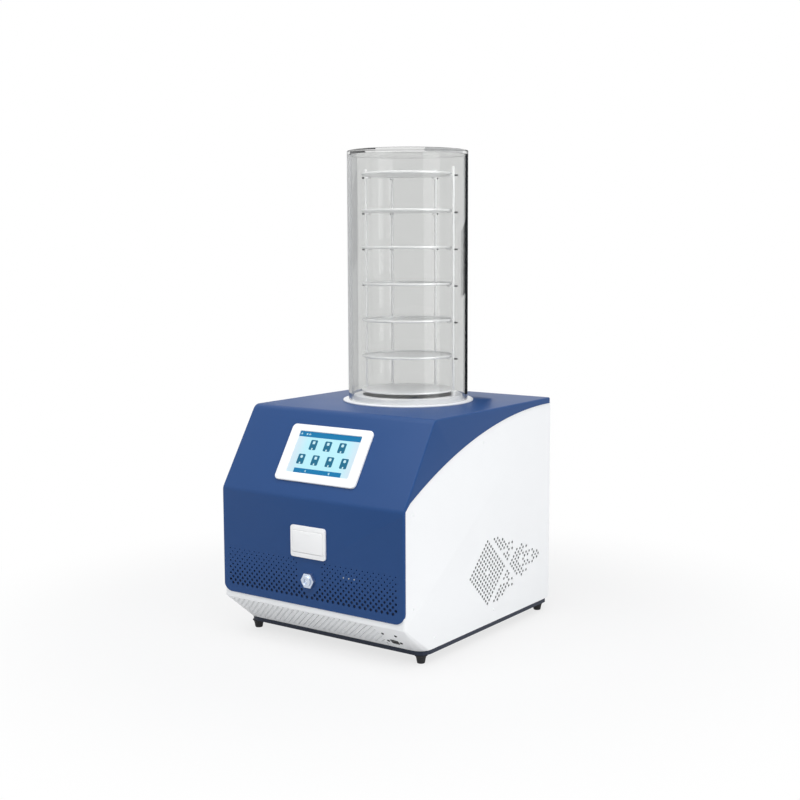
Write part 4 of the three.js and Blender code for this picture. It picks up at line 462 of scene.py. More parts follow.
def clear_acrylic(name, colour):
    """Polished clear wall: nearly no haze, a faint unevenness left by casting."""
    material, shader = new_material(name, colour, 0.02, Transmission_Weight=1.0, IOR=1.49)
    vector = coordinates(material, (1, 1, 0.3))
    cast = noise(material, vector, 9, 1)
    vary_roughness(material, shader, cast, 0.0, 0.03)
    raise_grain(material, shader, cast, 0.02, 0.4 * MM)
    return material


def lit(name, colour):
    """Back-lit surface of the screen: mostly its own light, with a soft unevenness."""
    dim = tuple(0.25 * c for c in colour)
    material, shader = new_material(
        name, dim, 0.25, Emission_Strength=0.68, Specular_IOR_Level=0.15)
    shader.inputs["Emission Color"].default_value = (*colour, 1)
    vector = coordinates(material)
    vary_colour(material, shader, noise(material, vector, 25, 1), dim, 0.02)
    vary_roughness(material, shader, noise(material, vector, 400, 2), 0.2, 0.3)
    return material


def lit_ground(name, colour, margin, reach):
    """Lit ground of the picture, paler towards its left and right margins."""
    material = lit(name, colour)
    tree = material.node_tree
    shader = tree.nodes["Principled BSDF"]
    split = add_node(tree, "ShaderNodeSeparateXYZ", {0: coordinates(material)})
    away = add_node(tree, "ShaderNodeMath", {0: split.outputs["X"]}, operation="ABSOLUTE")
    fade = soft_step(tree, away.outputs[0], reach * 0.55, reach)
    mix = add_node(tree, "ShaderNodeValToRGB", {"Fac": fade})
    for element, shown in zip(mix.color_ramp.elements, (colour, margin)):
        element.color = (*shown, 1)
    feed(tree, shader.inputs["Emission Color"], mix.outputs["Color"])
    return material


FINISHES = {}


def make_finishes():
    colours = bpy.context.scene.dryer_colours
    FINISHES.update({
        "cover_blue": powder_coat("blue_powder_coat", tuple(colours.cover), 0.42),
        "shell_white": powder_coat("white_powder_coat", tuple(colours.body), 0.5, 0.01),
        "base_dark": powder_coat("slate_powder_coat", tuple(colours.pan), 0.45),
        "rubber_black": moulded("black_rubber", (0.012, 0.012, 0.014), 0.75, 900, 0.25),
        "seal_white": moulded("white_polymer", (0.78, 0.785, 0.8), 0.4, 700, 0.1),
        "acrylic_clear": clear_acrylic("clear_acrylic", (0.77, 0.775, 0.77)),
        "stainless": brushed("bright_stainless", (0.88, 0.885, 0.89), 0.3, (1, 1, 30), 0.45),
        "bezel_white": moulded("white_screen_frame", (0.88, 0.885, 0.89), 0.3, 2000, 0.05),
        "screen_glass": lit_ground(
            "lit_screen", tuple(colours.screen), (0.75, 0.82, 0.92), 72 * MM),
        "module_grey": brushed("module_sheet", (0.42, 0.44, 0.46), 0.4, (1, 20, 1)),
        "printer_white": moulded("warm_white_plastic", (0.93, 0.928, 0.925), 0.42, 1500, 0.12),
        "paper": moulded("paper", (0.9, 0.89, 0.85), 0.9, 500, 0.2),
        "nickel": brushed("nickel_plate", (0.62, 0.68, 0.78), 0.3, (1, 8, 1)),
        "hose": moulded("translucent_silicone", (0.62, 0.65, 0.6), 0.5, 300, 0.1),
        "foam": moulded("cut_foam", (0.76, 0.68, 0.44), 0.95, 260, 0.8, 0.06),
        "copper": brushed("drawn_copper", (0.72, 0.32, 0.18), 0.3, (6, 6, 6)),
        "compressor_black": powder_coat("black_enamel", (0.012, 0.013, 0.015), 0.35),
        "galvanised": brushed("galvanised_sheet", (0.5, 0.53, 0.55), 0.42, (3, 3, 3)),
        "fin_aluminium": brushed("mill_aluminium", (0.68, 0.7, 0.71), 0.35, (1, 1, 12)),
        "plastic_black": moulded("black_moulding", (0.015, 0.016, 0.018), 0.45, 1200, 0.15),
        "board_green": moulded("circuit_board", (0.015, 0.14, 0.06), 0.35, 600, 0.15, 0.08),
    })
    # Navy foam behind the front vent: its dark colour is painted shade for the cabinet's inside
    # seen through the holes.
    FINISHES["navy_vent_shade"] = moulded("navy_foam_painted_shade", (0.01, 0.02, 0.058), 0.9, 400, 0.4, 0.05)
    FINISHES["bars"] = lit("lit_bars", tuple(colours.bars))
    FINISHES["buttons"] = lit("lit_buttons", tuple(colours.buttons))
    FINISHES["marks"] = lit("lit_marks", (0.6, 0.88, 0.95))
    slots = {entry["node"]: entry["material_slot"] for entry in frame["record"]["subparts"]}
    for node, obj in frame["nodes"].items():
        obj.data.materials.clear()
        obj.data.materials.append(FINISHES[slots[node]])


# ---- Cabinet -----------------------------------------------------------------------------
CHIN_RISE = 53 * MM
CHIN_SETBACK = 59 * MM
CHIN_LENGTH = math.hypot(CHIN_RISE, CHIN_SETBACK)


def chin_tilt():
    return math.pi - math.atan2(CHIN_RISE, CHIN_SETBACK)


def chin_point(x, up, out=0.0):
    """Point a little out from the chin's face, measured up the slant from its foot."""
    share = up / CHIN_LENGTH
    return (
        x, SHELL_LOW.y + CHIN_SETBACK * (1 - share) - out * CHIN_RISE / CHIN_LENGTH,
        SHELL_LOW.z + CHIN_RISE * share - out * CHIN_SETBACK / CHIN_LENGTH)


HOLE_SIDES = 12
HOLE_DEPTH = 12 * MM  # through a wall from either side


def hole_run(first, step, count, radius, depth, turn):
    """Row of equal round cutters, from first, each a step further on."""
    obj = drum("hole_run", HOLE_SIDES, radius, depth, location=first, rotation=turn)
    if count > 1:
        apply_modifier(
            obj, "ARRAY", count=count, use_relative_offset=False, use_constant_offset=True,
            constant_offset_displace=step)
    return obj


def stretches(flags):
    """First index and length of each unbroken stretch of true flags."""
    found = []
    start = None
    for i, is_open in enumerate([*flags, False]):
        if is_open and start is None:
            start = i
        if not is_open and start is not None:
            found.append((start, i - start))
            start = None
    return found


FRONT_VENT_RISE = 17.5 * MM  # lowest row above the cover's foot
LOWEST_ROW_HOLES = 32
BARE_ROUND_DRAIN = 27 * MM  # half-diagonal of the bare diamond
BARE_ABOVE_DRAIN = 30 * MM  # half-width of the bare strip above it
VENT_MARGIN = 4 * MM  # solid sheet between a hole and an edge


def front_vent_cutters():
    """Staggered rows that shrink upwards, bare round the drain fitting and under the printer."""
    settings = bpy.context.scene.dryer_cabinet
    pitch = settings.vent_pitch
    rows = settings.vent_rows
    frame_low, frame_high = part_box("printer_frame")
    lowest = COVER_LOW.z + FRONT_VENT_RISE
    runs = []
    for row in range(rows):
        count = LOWEST_ROW_HOLES + row % 2
        first_x = -(count - 1) / 2 * pitch
        z = lowest + row * pitch / 2
        share = row / (rows - 1)
        radius = (settings.vent_hole * (1 - share) + settings.vent_hole_top * share) / 2
        margin = radius + VENT_MARGIN

        def is_open(x):
            beside_drain = abs(x) + abs(z - DRAIN_Z) > BARE_ROUND_DRAIN and (
                abs(x) > BARE_ABOVE_DRAIN or z < DRAIN_Z + 10 * MM)
            beside_printer = z < frame_low.z - margin or abs(x) > frame_high.x + margin
            return beside_drain and beside_printer

        flags = [is_open(first_x + i * pitch) for i in range(count)]
        for start, length in stretches(flags):
            runs.append(hole_run(
                (first_x + start * pitch, FRONT_Y, z), (pitch, 0, 0), length, radius,
                HOLE_DEPTH, (UPRIGHT, 0, 0)))
    return merge("front_vent_cutter", runs)


# Side vent: a lattice of half-steps along Y and Z from the large diamond's middle. Each row's
# columns are listed once and cut both above and below the middle row.
SIDE_VENT_MIDDLE = (CHAMBER_Y - 36.9 * MM, 124.7 * MM)
BIG_DIAMOND_REACH = 10
WEDGE = {
    2: (12,), 3: (11, 13), 4: (10, 12), 5: (13, 15), 6: (8, 10, 12), 7: (7, 9, 11, 13, 15),
    8: (6, 8, 10), 9: (5, 7, 9), 10: (4, 6)}
TAIL = {
    0: (14, 16, 18, 22, 28, 30, 32), 1: (15, 17, 19, 23, 25, 29, 31),
    2: (16, 18, 20, 22, 24, 26, 28), 3: (17, 19, 21), 4: (18, 20, 22, 24), 5: (21,)}


def side_vent_rows():
    """Columns of each row of the side vent, in half-steps from its middle."""
    rows = {}
    for row in range(BIG_DIAMOND_REACH + 1):
        reach = BIG_DIAMOND_REACH - row
        columns = set(range(-reach, reach + 1, 2))
        if row == 0:
            columns.discard(0)
        rows[row] = columns | set(WEDGE.get(row, ())) | set(TAIL.get(row, ()))
    return rows


def side_vent_cutters(side):
    """Round holes in a large diamond, two wedges beside it and a small broken diamond behind."""
    settings = bpy.context.scene.dryer_cabinet
    step = settings.side_step
    x = side * SHELL_HIGH.x
    y, z = SIDE_VENT_MIDDLE
    runs = []
    for row, columns in side_vent_rows().items():
        first = min(columns)
        flags = [first + 2 * i in columns for i in range((max(columns) - first) // 2 + 1)]
        for start, length in stretches(flags):
            for level in {row, -row}:
                runs.append(hole_run(
                    (x, y + (first + 2 * start) * step, z + level * step), (0, 2 * step, 0), length,
                    settings.side_hole / 2, HOLE_DEPTH, (0, UPRIGHT, 0)))
    return merge("side_vent_cutter", runs)


CHIN_ROWS = 11
CHIN_FIRST_ROW = 12.6 * MM  # up the slant from the foot
CHIN_VENT = (-196 * MM, 136 * MM)  # left and right ends
CHIN_FOOT_CORNER = 24 * MM
CHIN_TOP_CORNER = 4 * MM
SLOT_SKIN = (285 * MM, 40 * MM, 1.46 * MM)  # closes the frame's long slots, inside its sheet
SLOT_SKIN_PLACE = (-11.5 * MM, 50.16 * MM, -0.75 * MM)  # across, up the slant and out


def chin_vent_cutters():
    """Staggered rows of round holes over the left and middle of the chin."""
    settings = bpy.context.scene.dryer_cabinet
    pitch = settings.vent_pitch
    runs = []
    for row in range(CHIN_ROWS):
        up = CHIN_FIRST_ROW + row * pitch / 2
        corner = CHIN_FOOT_CORNER - (CHIN_FOOT_CORNER - CHIN_TOP_CORNER) * up / CHIN_LENGTH
        low = max(CHIN_VENT[0], SHELL_LOW.x + corner + VENT_MARGIN)
        shift = row % 2 * pitch / 2
        last = CHIN_VENT[1] - shift
        count = int((last - low) / pitch) + 1
        runs.append(hole_run(
            chin_point(last - (count - 1) * pitch, up), (pitch, 0, 0), count,
            settings.chin_hole / 2, HOLE_DEPTH / 2, (chin_tilt(), 0, 0)))
    return merge("chin_vent_cutter", runs)


LAMP_ROW = 4  # in pitches of the front vent, above its lowest row
LAMP_COLUMNS = (6.5, 7.5, 8.5)
LAMP_OUTLINE = (
    (0, -2 * MM), (1.3 * MM, -2 * MM), (1.3 * MM, 0), (0.9 * MM, 0.4 * MM), (0, 0.6 * MM))


class DRYER_OT_cover(bpy.types.Operator):
    """Folded blue cover with its perforated front"""

    bl_idname = "dryer.cover"
    bl_label = "Folded cover"

    def execute(self, context):
        cover = from_node("front_cover", "folded_cover")
        cut(cover, front_vent_cutters())
        finish_piece(cover, "cover_blue", "front_cover", degrees=24)
        pitch = context.scene.dryer_cabinet.vent_pitch
        z = COVER_LOW.z + FRONT_VENT_RISE + LAMP_ROW * pitch
        lamps = []
        for column in LAMP_COLUMNS:
            lens = turned("lamp_lens", LAMP_OUTLINE, 16, closed=False)
            lamps.append(place(lens, (column * pitch, FRONT_Y, z), UPRIGHT))
        finish_piece(merge("status_lamps", lamps), "module_grey")
        return {"FINISHED"}


class DRYER_OT_body(bpy.types.Operator):
    """White body with its perforated chin and sides"""

    bl_idname = "dryer.body"
    bl_label = "White body"

    def execute(self, context):
        body = from_node("lower_shell", "white_body")
        skin = plate("chin_skin", *SLOT_SKIN, 1 * MM, 0.1 * MM)
        unite(body, place(skin, chin_point(*SLOT_SKIN_PLACE), chin_tilt()))
        cut(body, chin_vent_cutters())
        for side in (1, -1):
            cut(body, side_vent_cutters(side))
        finish_piece(body, "shell_white", "lower_shell", degrees=24)
        return {"FINISHED"}


def filter_sheet(name, width, height, corner):
    """Sheet of filter foam, sizes in millimetres, its face towards +Z."""
    return plate(name, width * MM, height * MM, 3 * MM, corner * MM, 0.4 * MM)


def front_filter(x, rise, width, height, corner):
    """Filter behind the front, its middle that many millimetres above the cover's foot."""
    sheet = filter_sheet("front_filter", width, height, corner)
    return place(sheet, (x * MM, FRONT_Y + 3.6 * MM, COVER_LOW.z + rise * MM), UPRIGHT)


class DRYER_OT_filters(bpy.types.Operator):
    """Filter sheets close behind the perforated front, sides and chin; the navy front sheets and
    black side sheets are painted shade, dark like the cabinet's inside seen through the holes
    """

    bl_idname = "dryer.filters"
    bl_label = "Dust filters"

    def execute(self, context):
        sheets = []
        fronts = []
        for side in (1, -1):
            sheet = filter_sheet("side_filter", 266, 131, 6)
            sheet.rotation_euler = (UPRIGHT, 0, UPRIGHT)
            sheet.location = (
                side * (SHELL_HIGH.x - 5.2 * MM), CHAMBER_Y + 29 * MM, SIDE_VENT_MIDDLE[1])
            sheets.append(settle(sheet))
            fronts.append(front_filter(side * 108, 50, 168, 74, 6))
        fronts.append(front_filter(0, 21.5, 47, 17, 1))
        sheet = filter_sheet("chin_filter", 328, 68, 6)
        place(sheet, chin_point(-25 * MM, 43 * MM, -4.5 * MM), chin_tilt())
        finish_piece(sheet, "galvanised", degrees=40)
        # Black side sheets and navy front sheets are filter sheets whose dark colours are painted
        # shade seen through the vent holes.
        finish_piece(merge("side_filters_painted_shade", sheets), "plastic_black", degrees=40)
        finish_piece(
            merge("front_filters_painted_shade", fronts), "base_dark", finish="navy_vent_shade", degrees=40)
        return {"FINISHED"}


class DRYER_OT_feet(bpy.types.Operator):
    """Four rubber feet"""

    bl_idname = "dryer.feet"
    bl_label = "Feet"

    def execute(self, context):
        for node in ("foot_front_left", "foot_front_right", "foot_rear_left", "foot_rear_right"):
            low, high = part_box(node)
            top = (high.x - low.x) / 2
            bottom = top * 0.6
            height = high.z - low.z
            centre = ((low.x + high.x) / 2, (low.y + high.y) / 2)
            outline = [
                (0, 0), (bottom - 1 * MM, 0), *arc((bottom - 1 * MM, 1 * MM), 1 * MM, -90, 0),
                (bottom + 1.5 * MM, height * 0.55), (top - 2 * MM, height - 3 * MM),
                *arc((top - 1 * MM, height - 1.5 * MM), 1 * MM, -20, 90, 4),
                (top - 1.5 * MM, height), (0, height)]
            foot = turned(f"{node}_rubber", outline, 40, centre, closed=False)
            finish_piece(foot, "rubber_black", node)
        return {"FINISHED"}


def screw_head(name, radius):
    """Low domed head with a hexagon socket, its face towards +Z."""
    height = radius * 0.45
    outline = [
        (0, -0.5 * MM), (radius, -0.5 * MM), (radius, height * 0.3),
        (radius * 0.86, height * 0.78), (radius * 0.6, height), (0, height)]
    head = turned(name, outline, 20, closed=False)
    socket = drum("socket_cutter", 6, radius * 0.42, height, location=(0, 0, height * 0.9))
    return cut(head, socket)


SIDE_SCREWS = ((-53, 375), (-280, 278), (-280, 111), (-14, 48), (-215, 44))
CHIN_SCREWS = ((147.5, 51.4), (176, 51.4), (146, 24), (174, 24))
CHIN_SCREW_RADIUS = 2.9 * MM


class DRYER_OT_screws(bpy.types.Operator):
    """Screws on the sides, back and chin, and the chin's socket rim"""

    bl_idname = "dryer.screws"
    bl_label = "Screws"

    def execute(self, context):
        radius = context.scene.dryer_cabinet.screw_radius
        pattern = screw_head("screw_pattern", radius)
        heads = []
        for side in (1, -1):
            for y, z in SIDE_SCREWS:
                head = twin(pattern, "side_screw")
                head.rotation_euler = (0, side * UPRIGHT, 0)
                head.location = (side * SHELL_HIGH.x, CHAMBER_Y + y * MM, z * MM)
                heads.append(settle(head))
        finish_piece(merge("side_screws", heads), "shell_white")
        heads = []
        for x in (-197, -66, 66, 197):
            for z in (37, 420) if abs(x) < 100 else (37, 165, 292, 420):
                head = twin(pattern, "rear_screw")
                heads.append(place(head, (x * MM, REAR_Y, z * MM), -UPRIGHT))
        finish_piece(merge("rear_screws", heads), "shell_white")
        bpy.data.objects.remove(pattern)
        pattern = screw_head("chin_screw_pattern", CHIN_SCREW_RADIUS)
        chin = []
        for x, up in CHIN_SCREWS:
            head = twin(pattern, "chin_screw")
            chin.append(place(head, chin_point(x * MM, up * MM), chin_tilt()))
        bpy.data.objects.remove(pattern)
        rim = plate("socket_rim", 16.6 * MM, 14 * MM, 1 * MM, 2.5 * MM, 0.4 * MM)
        mouth = plate("mouth_cutter", 12.4 * MM, 5 * MM, 4 * MM, 0.8 * MM, 0.1 * MM)
        mouth.location = (0.6 * MM, 0, 0)
        cut(rim, settle(mouth))
        chin.append(place(rim, chin_point(160.4 * MM, 24 * MM, 0.5 * MM), chin_tilt()))
        finish_piece(merge("chin_fasteners", chin), "plastic_black")
        return {"FINISHED"}


# ---- Chamber, ring and rack --------------------------------------------------------------
BELL_WALL = 5.5 * MM  # thinner than the frame's, for the lines that a clear wall shows at its edges
BELL_ROOF = 8 * MM
SPIGOT_RADIUS = 107 * MM
RING_BORE = 88 * MM
RING_SKIRT = 110.5 * MM


class DRYER_OT_chamber(bpy.types.Operator):
    """Clear drying chamber and the white ring it stands on"""

    bl_idname = "dryer.chamber"
    bl_label = "Chamber and ring"

    def execute(self, context):
        edge = 1.2 * MM
        roof = BELL_ROOF
        bore = BELL_RADIUS - BELL_WALL
        top = BELL_HIGH.z
        outline = [
            (0, top - roof), (bore - edge, top - roof),
            *arc((bore - edge, top - roof - edge), edge, 90, 0),
            (bore, BELL_LOW.z), (BELL_RADIUS, BELL_LOW.z),
            *arc((BELL_RADIUS - edge, top - edge), edge, 0, 90), (0, top)]
        bell = turned("clear_chamber", outline, 144, (CHAMBER_X, CHAMBER_Y), closed=False)
        finish_piece(bell, "acrylic_clear", "acrylic_chamber", degrees=50)
        bell.visible_shadow = False

        outer = (RING_HIGH.x - RING_LOW.x) / 2
        ring_top = BELL_LOW.z
        spigot, inner, skirt = SPIGOT_RADIUS, RING_BORE, RING_SKIRT
        sheet_top = COVER_HIGH.z
        outline = [
            (inner, RING_LOW.z), (skirt, RING_LOW.z), (skirt, sheet_top),
            (outer - 1 * MM, sheet_top),
            *arc((outer - 1 * MM, sheet_top + 1 * MM), 1 * MM, -90, 0, 4),
            *arc((outer - 1.5 * MM, ring_top - 1.5 * MM), 1.5 * MM, 0, 90, 5),
            (spigot, ring_top), *arc((spigot - 1 * MM, RING_HIGH.z - 1 * MM), 1 * MM, 0, 90, 4),
            (inner + 1 * MM, RING_HIGH.z), (inner, RING_HIGH.z - 1 * MM)]
        ring = turned("sealing_ring", outline, 144, (CHAMBER_X, CHAMBER_Y))
        finish_piece(ring, "seal_white", "seal_ring", degrees=40)
        return {"FINISHED"}


TRAYS = [node for node in frame["nodes"] if node.startswith("tray_")]
RODS = [node for node in frame["nodes"] if node.startswith("rack_rod_")]
TRAY_SHEET = 1.2 * MM
TRAY_ROLL = 0.9 * MM
TRAY_BEND = 2.5 * MM
ROD_CIRCLE = 95 * MM
ROD_RADIUS = 2.5 * MM
COLLAR_RADIUS = 4.5 * MM
PEG_DROP = 1.6 * MM  # peg's middle under its tray
PEG_RADIUS = 1.6 * MM
PEG_ENDS = (-12.5 * MM, 2 * MM)  # outwards from the rod
TIP_RADIUS = 1.8 * MM
TIP_ENDS = (2.6 * MM, 8.5 * MM)


def rod_angle(node):
    low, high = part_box(node)
    away = (low + high) / 2 - Vector((CHAMBER_X, CHAMBER_Y, 0))
    return math.atan2(away.y, away.x)


class DRYER_OT_rack(bpy.types.Operator):
    """Rack base, rods with their pegs, and the round trays"""

    bl_idname = "dryer.rack"
    bl_label = "Rack and trays"

    def execute(self, context):
        centre = (CHAMBER_X, CHAMBER_Y)
        pattern = None
        pattern_z = 0
        for node in TRAYS:
            low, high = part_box(node)
            if pattern is None:
                radius = (high.x - low.x) / 2
                rim = high.z - low.z
                sheet, roll, bend = TRAY_SHEET, TRAY_ROLL, TRAY_BEND
                outline = [
                    (0, low.z), (radius - bend, low.z),
                    *arc((radius - bend, low.z + bend), bend, -90, 0),
                    *arc((radius - roll, low.z + rim - roll), roll, 0, 180, 8),
                    (radius - sheet, low.z + bend),
                    *arc((radius - bend, low.z + bend), bend - sheet, 0, -90, 4)[1:],
                    (0, low.z + sheet)]
                pattern = turned("tray_pattern", outline, 128, centre, closed=False)
                pattern_z = low.z
            tray = twin(pattern, f"{node}_dish")
            place(tray, (0, 0, low.z - pattern_z))
            finish_piece(tray, "stainless", node)
        bpy.data.objects.remove(pattern)
        tray_levels = [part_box(node)[0].z for node in TRAYS]
        tips = []
        for node in RODS:
            angle = rod_angle(node)
            low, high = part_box(node)
            across = Vector((math.cos(angle), math.sin(angle), 0))
            foot = Vector((CHAMBER_X, CHAMBER_Y, 0)) + across * ROD_CIRCLE
            base_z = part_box("rack_base")[0].z
            bars = [
                rod(name, radius, foot + Vector((0, 0, low.z)), foot + Vector((0, 0, top)), 28,
                    edge)
                for name, radius, top, edge in (
                    ("rod_bar", ROD_RADIUS, high.z, 0.8 * MM),
                    ("rod_collar", COLLAR_RADIUS, base_z, 0.6 * MM))]
            for level in tray_levels:
                peg = foot + Vector((0, 0, level - PEG_DROP))
                for found, name, radius, ends in (
                        (bars, "rod_peg", PEG_RADIUS, PEG_ENDS),
                        (tips, "peg_tip", TIP_RADIUS, TIP_ENDS)):
                    start, end = (peg + across * reach for reach in ends)
                    found.append(rod(name, radius, start, end, 16, 0.5 * MM))
            finish_piece(merge(f"{node}_bar", bars), "stainless", node)
        finish_piece(merge("peg_tips", tips), "plastic_black")
        base = from_node("rack_base", "rack_base_disc")
        apply_modifier(base, "BEVEL", width=0.4 * MM, segments=2, limit_method="ANGLE")
        finish_piece(base, "stainless", "rack_base")
        return {"FINISHED"}


# ---- Screen ------------------------------------------------------------------------------
BEZEL = (187 * MM, 113 * MM, 3.8 * MM)
SHOWN = (144 * MM, 83 * MM)  # visible part of the glass
SHOWN_RISE = 1.8 * MM  # its middle above the bezel's
GLASS = (152 * MM, 91 * MM, 1.5 * MM)
GLASS_GAP = 0.3 * MM
BLOCK_THICKNESS = 0.12 * MM
BUTTON = (16 * MM, 20 * MM)
BUTTON_PITCH = 0.232  # as a share of the picture's width
BUTTON_ROWS = ((3, 0.31), (4, 0.665))  # buttons in the row, and its place from the top


class DRYER_OT_screen(bpy.types.Operator):
    """White frame, lit glass and the plain blocks shown on it"""

    bl_idname = "dryer.screen"
    bl_label = "Touch screen"

    def execute(self, context):
        tilt = SLOPE_TILT
        up = Vector((0, math.cos(tilt), math.sin(tilt)))
        out = Vector((0, -math.sin(tilt), math.cos(tilt)))
        bezel = plate("screen_frame", *BEZEL, 9 * MM, 1.2 * MM)
        window = plate("window_cutter", *SHOWN, 20 * MM, 2.5 * MM, 0.2 * MM)
        window.location = (0, SHOWN_RISE, 0)
        cut(bezel, settle(window))
        soften(bezel, lambda middle, way: (
            middle.z > 1.8 * MM and abs(way.z) < 0.1 and abs(middle.x) < 73 * MM
            and abs(middle.y - SHOWN_RISE) < 43 * MM), 0.8 * MM, 3)
        glass_cut = plate(
            "glass_cutter", GLASS[0] + 2 * GLASS_GAP, GLASS[1] + 2 * GLASS_GAP, 4 * MM,
            0.5 * MM, 0.1 * MM)
        glass_cut.location = (0, SHOWN_RISE, -BEZEL[2] / 2 - GLASS_GAP)
        cut(bezel, settle(glass_cut))
        place(bezel, GLASS_MIDDLE - up * SHOWN_RISE + out * 1.15 * MM, tilt)
        finish_piece(bezel, "bezel_white", "screen_bezel")

        glass = plate("screen_glass", *GLASS, 1 * MM, 0.2 * MM)
        place(glass, GLASS_MIDDLE, tilt)
        finish_piece(glass, "screen_glass", "touch_panel")

        surface = GLASS[2] / 2

        def block(u, v, width, height, corner):
            """Thin raised block, placed by shares of the picture from its top left."""
            piece = plate("screen_block", width, height, BLOCK_THICKNESS, corner, 0.03 * MM)
            across = Vector(((u - 0.5) * SHOWN[0], 0, 0))
            rise = up * ((0.5 - v) * SHOWN[1])
            lift = out * (surface + BLOCK_THICKNESS / 2)
            return place(piece, GLASS_MIDDLE + across + rise + lift, tilt)

        bars = [
            block(0.5, 0.065, SHOWN[0], SHOWN[1] * 0.13, 0.2 * MM),
            block(0.49, 0.94, SHOWN[0] * 0.76, SHOWN[1] * 0.115, 0.2 * MM)]
        finish_piece(merge("screen_bars", bars), "screen_glass", finish="bars")
        places = [
            (0.51 + (i - (count - 1) / 2) * BUTTON_PITCH, v)
            for count, v in BUTTON_ROWS for i in range(count)]
        buttons = [block(u, v, *BUTTON, 2.4 * MM) for u, v in places]
        finish_piece(merge("screen_buttons", buttons), "screen_glass", finish="buttons")
        marks = [block(0.035 + 0.055 * i, 0.065, 4 * MM, 3.4 * MM, 0.8 * MM) for i in (0, 1.6, 2.4)]
        marks += [block(u, 0.94, 3.2 * MM, 4.6 * MM, 0.8 * MM) for u in (0.3, 0.68)]
        surface += BLOCK_THICKNESS
        for i, (u, v) in enumerate(places):
            marks.append(block(u, v - 0.055, 5.6 * MM, 5.6 * MM, (0.8 + 0.6 * (i % 4)) * MM))
            marks.append(block(u, v + 0.095, 3 * MM, 3.5 * MM, 0.6 * MM))
        finish_piece(merge("screen_marks", marks), "screen_glass", finish="marks")
        return {"FINISHED"}


# ---- Printer -----------------------------------------------------------------------------
class DRYER_OT_printer(bpy.types.Operator):
    """Panel printer's frame and its hinged door"""

    bl_idname = "dryer.printer"
    bl_label = "Panel printer"

    def execute(self, context):
        for node, name, width, body in (
                ("printer_frame", "printer_surround", 1.2, ROOT),
                ("printer_door", "printer_flap", 0.35, "door")):
            piece = from_node(node, name)
            apply_modifier(
                piece, "BEVEL", width=width * MM, segments=3, limit_method="ANGLE",
                angle_limit=math.radians(50), use_clamp_overlap=True)
            finish_piece(piece, "printer_white", node, body=body)
        low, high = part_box("printer_door")
        grip = plate("door_grip", 12 * MM, 2.4 * MM, 0.8 * MM, 1 * MM, 0.3 * MM)
        place(grip, ((low.x + high.x) / 2, low.y - 0.2 * MM, high.z - 5 * MM), UPRIGHT)
        finish_piece(grip, "printer_white", body="door")
        return {"FINISHED"}


# ---- Drain -------------------------------------------------------------------------------
HEX_RADIUS = 15 * MM
HEX_DEPTH = 7 * MM
DRAIN_BORE = 4.5 * MM
SHANK_RADIUS = 8 * MM
SHANK_LENGTH = 28 * MM
BARB_LENGTH = 17 * MM


class DRYER_OT_drain(bpy.types.Operator):
    """Plated drain fitting with its hexagon and ring"""

    bl_idname = "dryer.drain"
    bl_label = "Drain fitting"

    def execute(self, context):
        hex_depth, bore = HEX_DEPTH, DRAIN_BORE
        body = drum(
            "drain_plate", 6, HEX_RADIUS, hex_depth, location=(0, 0, hex_depth / 2),
            rotation=(0, 0, UPRIGHT))
        soften(
            body, lambda middle, way: abs(way.z) < 0.1 and middle.z > hex_depth * 0.9, 1 * MM, 2)
        proud = FRONT_Y - FITTING_LOW.y
        collar = [
            (bore, hex_depth - 1 * MM), (10 * MM, hex_depth - 1 * MM), (10 * MM, proud - 1.4 * MM),
            *arc((9 * MM, proud - 1 * MM), 1 * MM, 0, 90, 4),
            (7 * MM, proud), (6.4 * MM, proud - 1.2 * MM), (bore, proud - 1.2 * MM)]
        ring = turned("drain_collar", collar, 48)
        shank_end, barb_end = -SHANK_LENGTH, -SHANK_LENGTH - BARB_LENGTH
        tail = [(bore, 0.5 * MM), (bore, barb_end), (5.2 * MM, barb_end)]
        for i in range(3):
            low = barb_end + i * 5 * MM
            tail += [(6 * MM, low + 4 * MM), (5.3 * MM, low + 4.2 * MM)]
        tail += [(5.3 * MM, shank_end), (SHANK_RADIUS, shank_end), (SHANK_RADIUS, 0.5 * MM)]
        shank = turned("drain_shank", tail, 40)
        cut(body, drum("bore_cutter", 40, bore, 60 * MM))
        top = proud - 2.4 * MM
        core = turned("drain_core", [
            (bore, 2 * MM), (bore, top - 0.6 * MM), (bore - 0.6 * MM, top), (1.9 * MM, top),
            (1.3 * MM, top - 0.8 * MM), (0, top - 0.8 * MM), (0, 2 * MM)], 40, closed=False)
        fitting = merge("drain_port", [body, ring, shank, core])
        place(fitting, (0, FRONT_Y, DRAIN_Z), UPRIGHT)
        finish_piece(fitting, "nickel", "drain_fitting")
        return {"FINISHED"}


# ---- Studio ------------------------------------------------------------------------------
def flat_light(name, power, size, location):
    """Rectangular light that faces the lit middle."""
    lamp = bpy.data.lights.new(name, "AREA")
    lamp.energy = power
    lamp.shape = "RECTANGLE"
    lamp.size, lamp.size_y = size
    obj = bpy.data.objects.new(name, lamp)
    obj.location = location
    obj.rotation_euler = (Vector(LIT_MIDDLE) - Vector(location)).to_track_quat("-Z", "Y").to_euler()
    bpy.context.collection.objects.link(obj)
    return obj


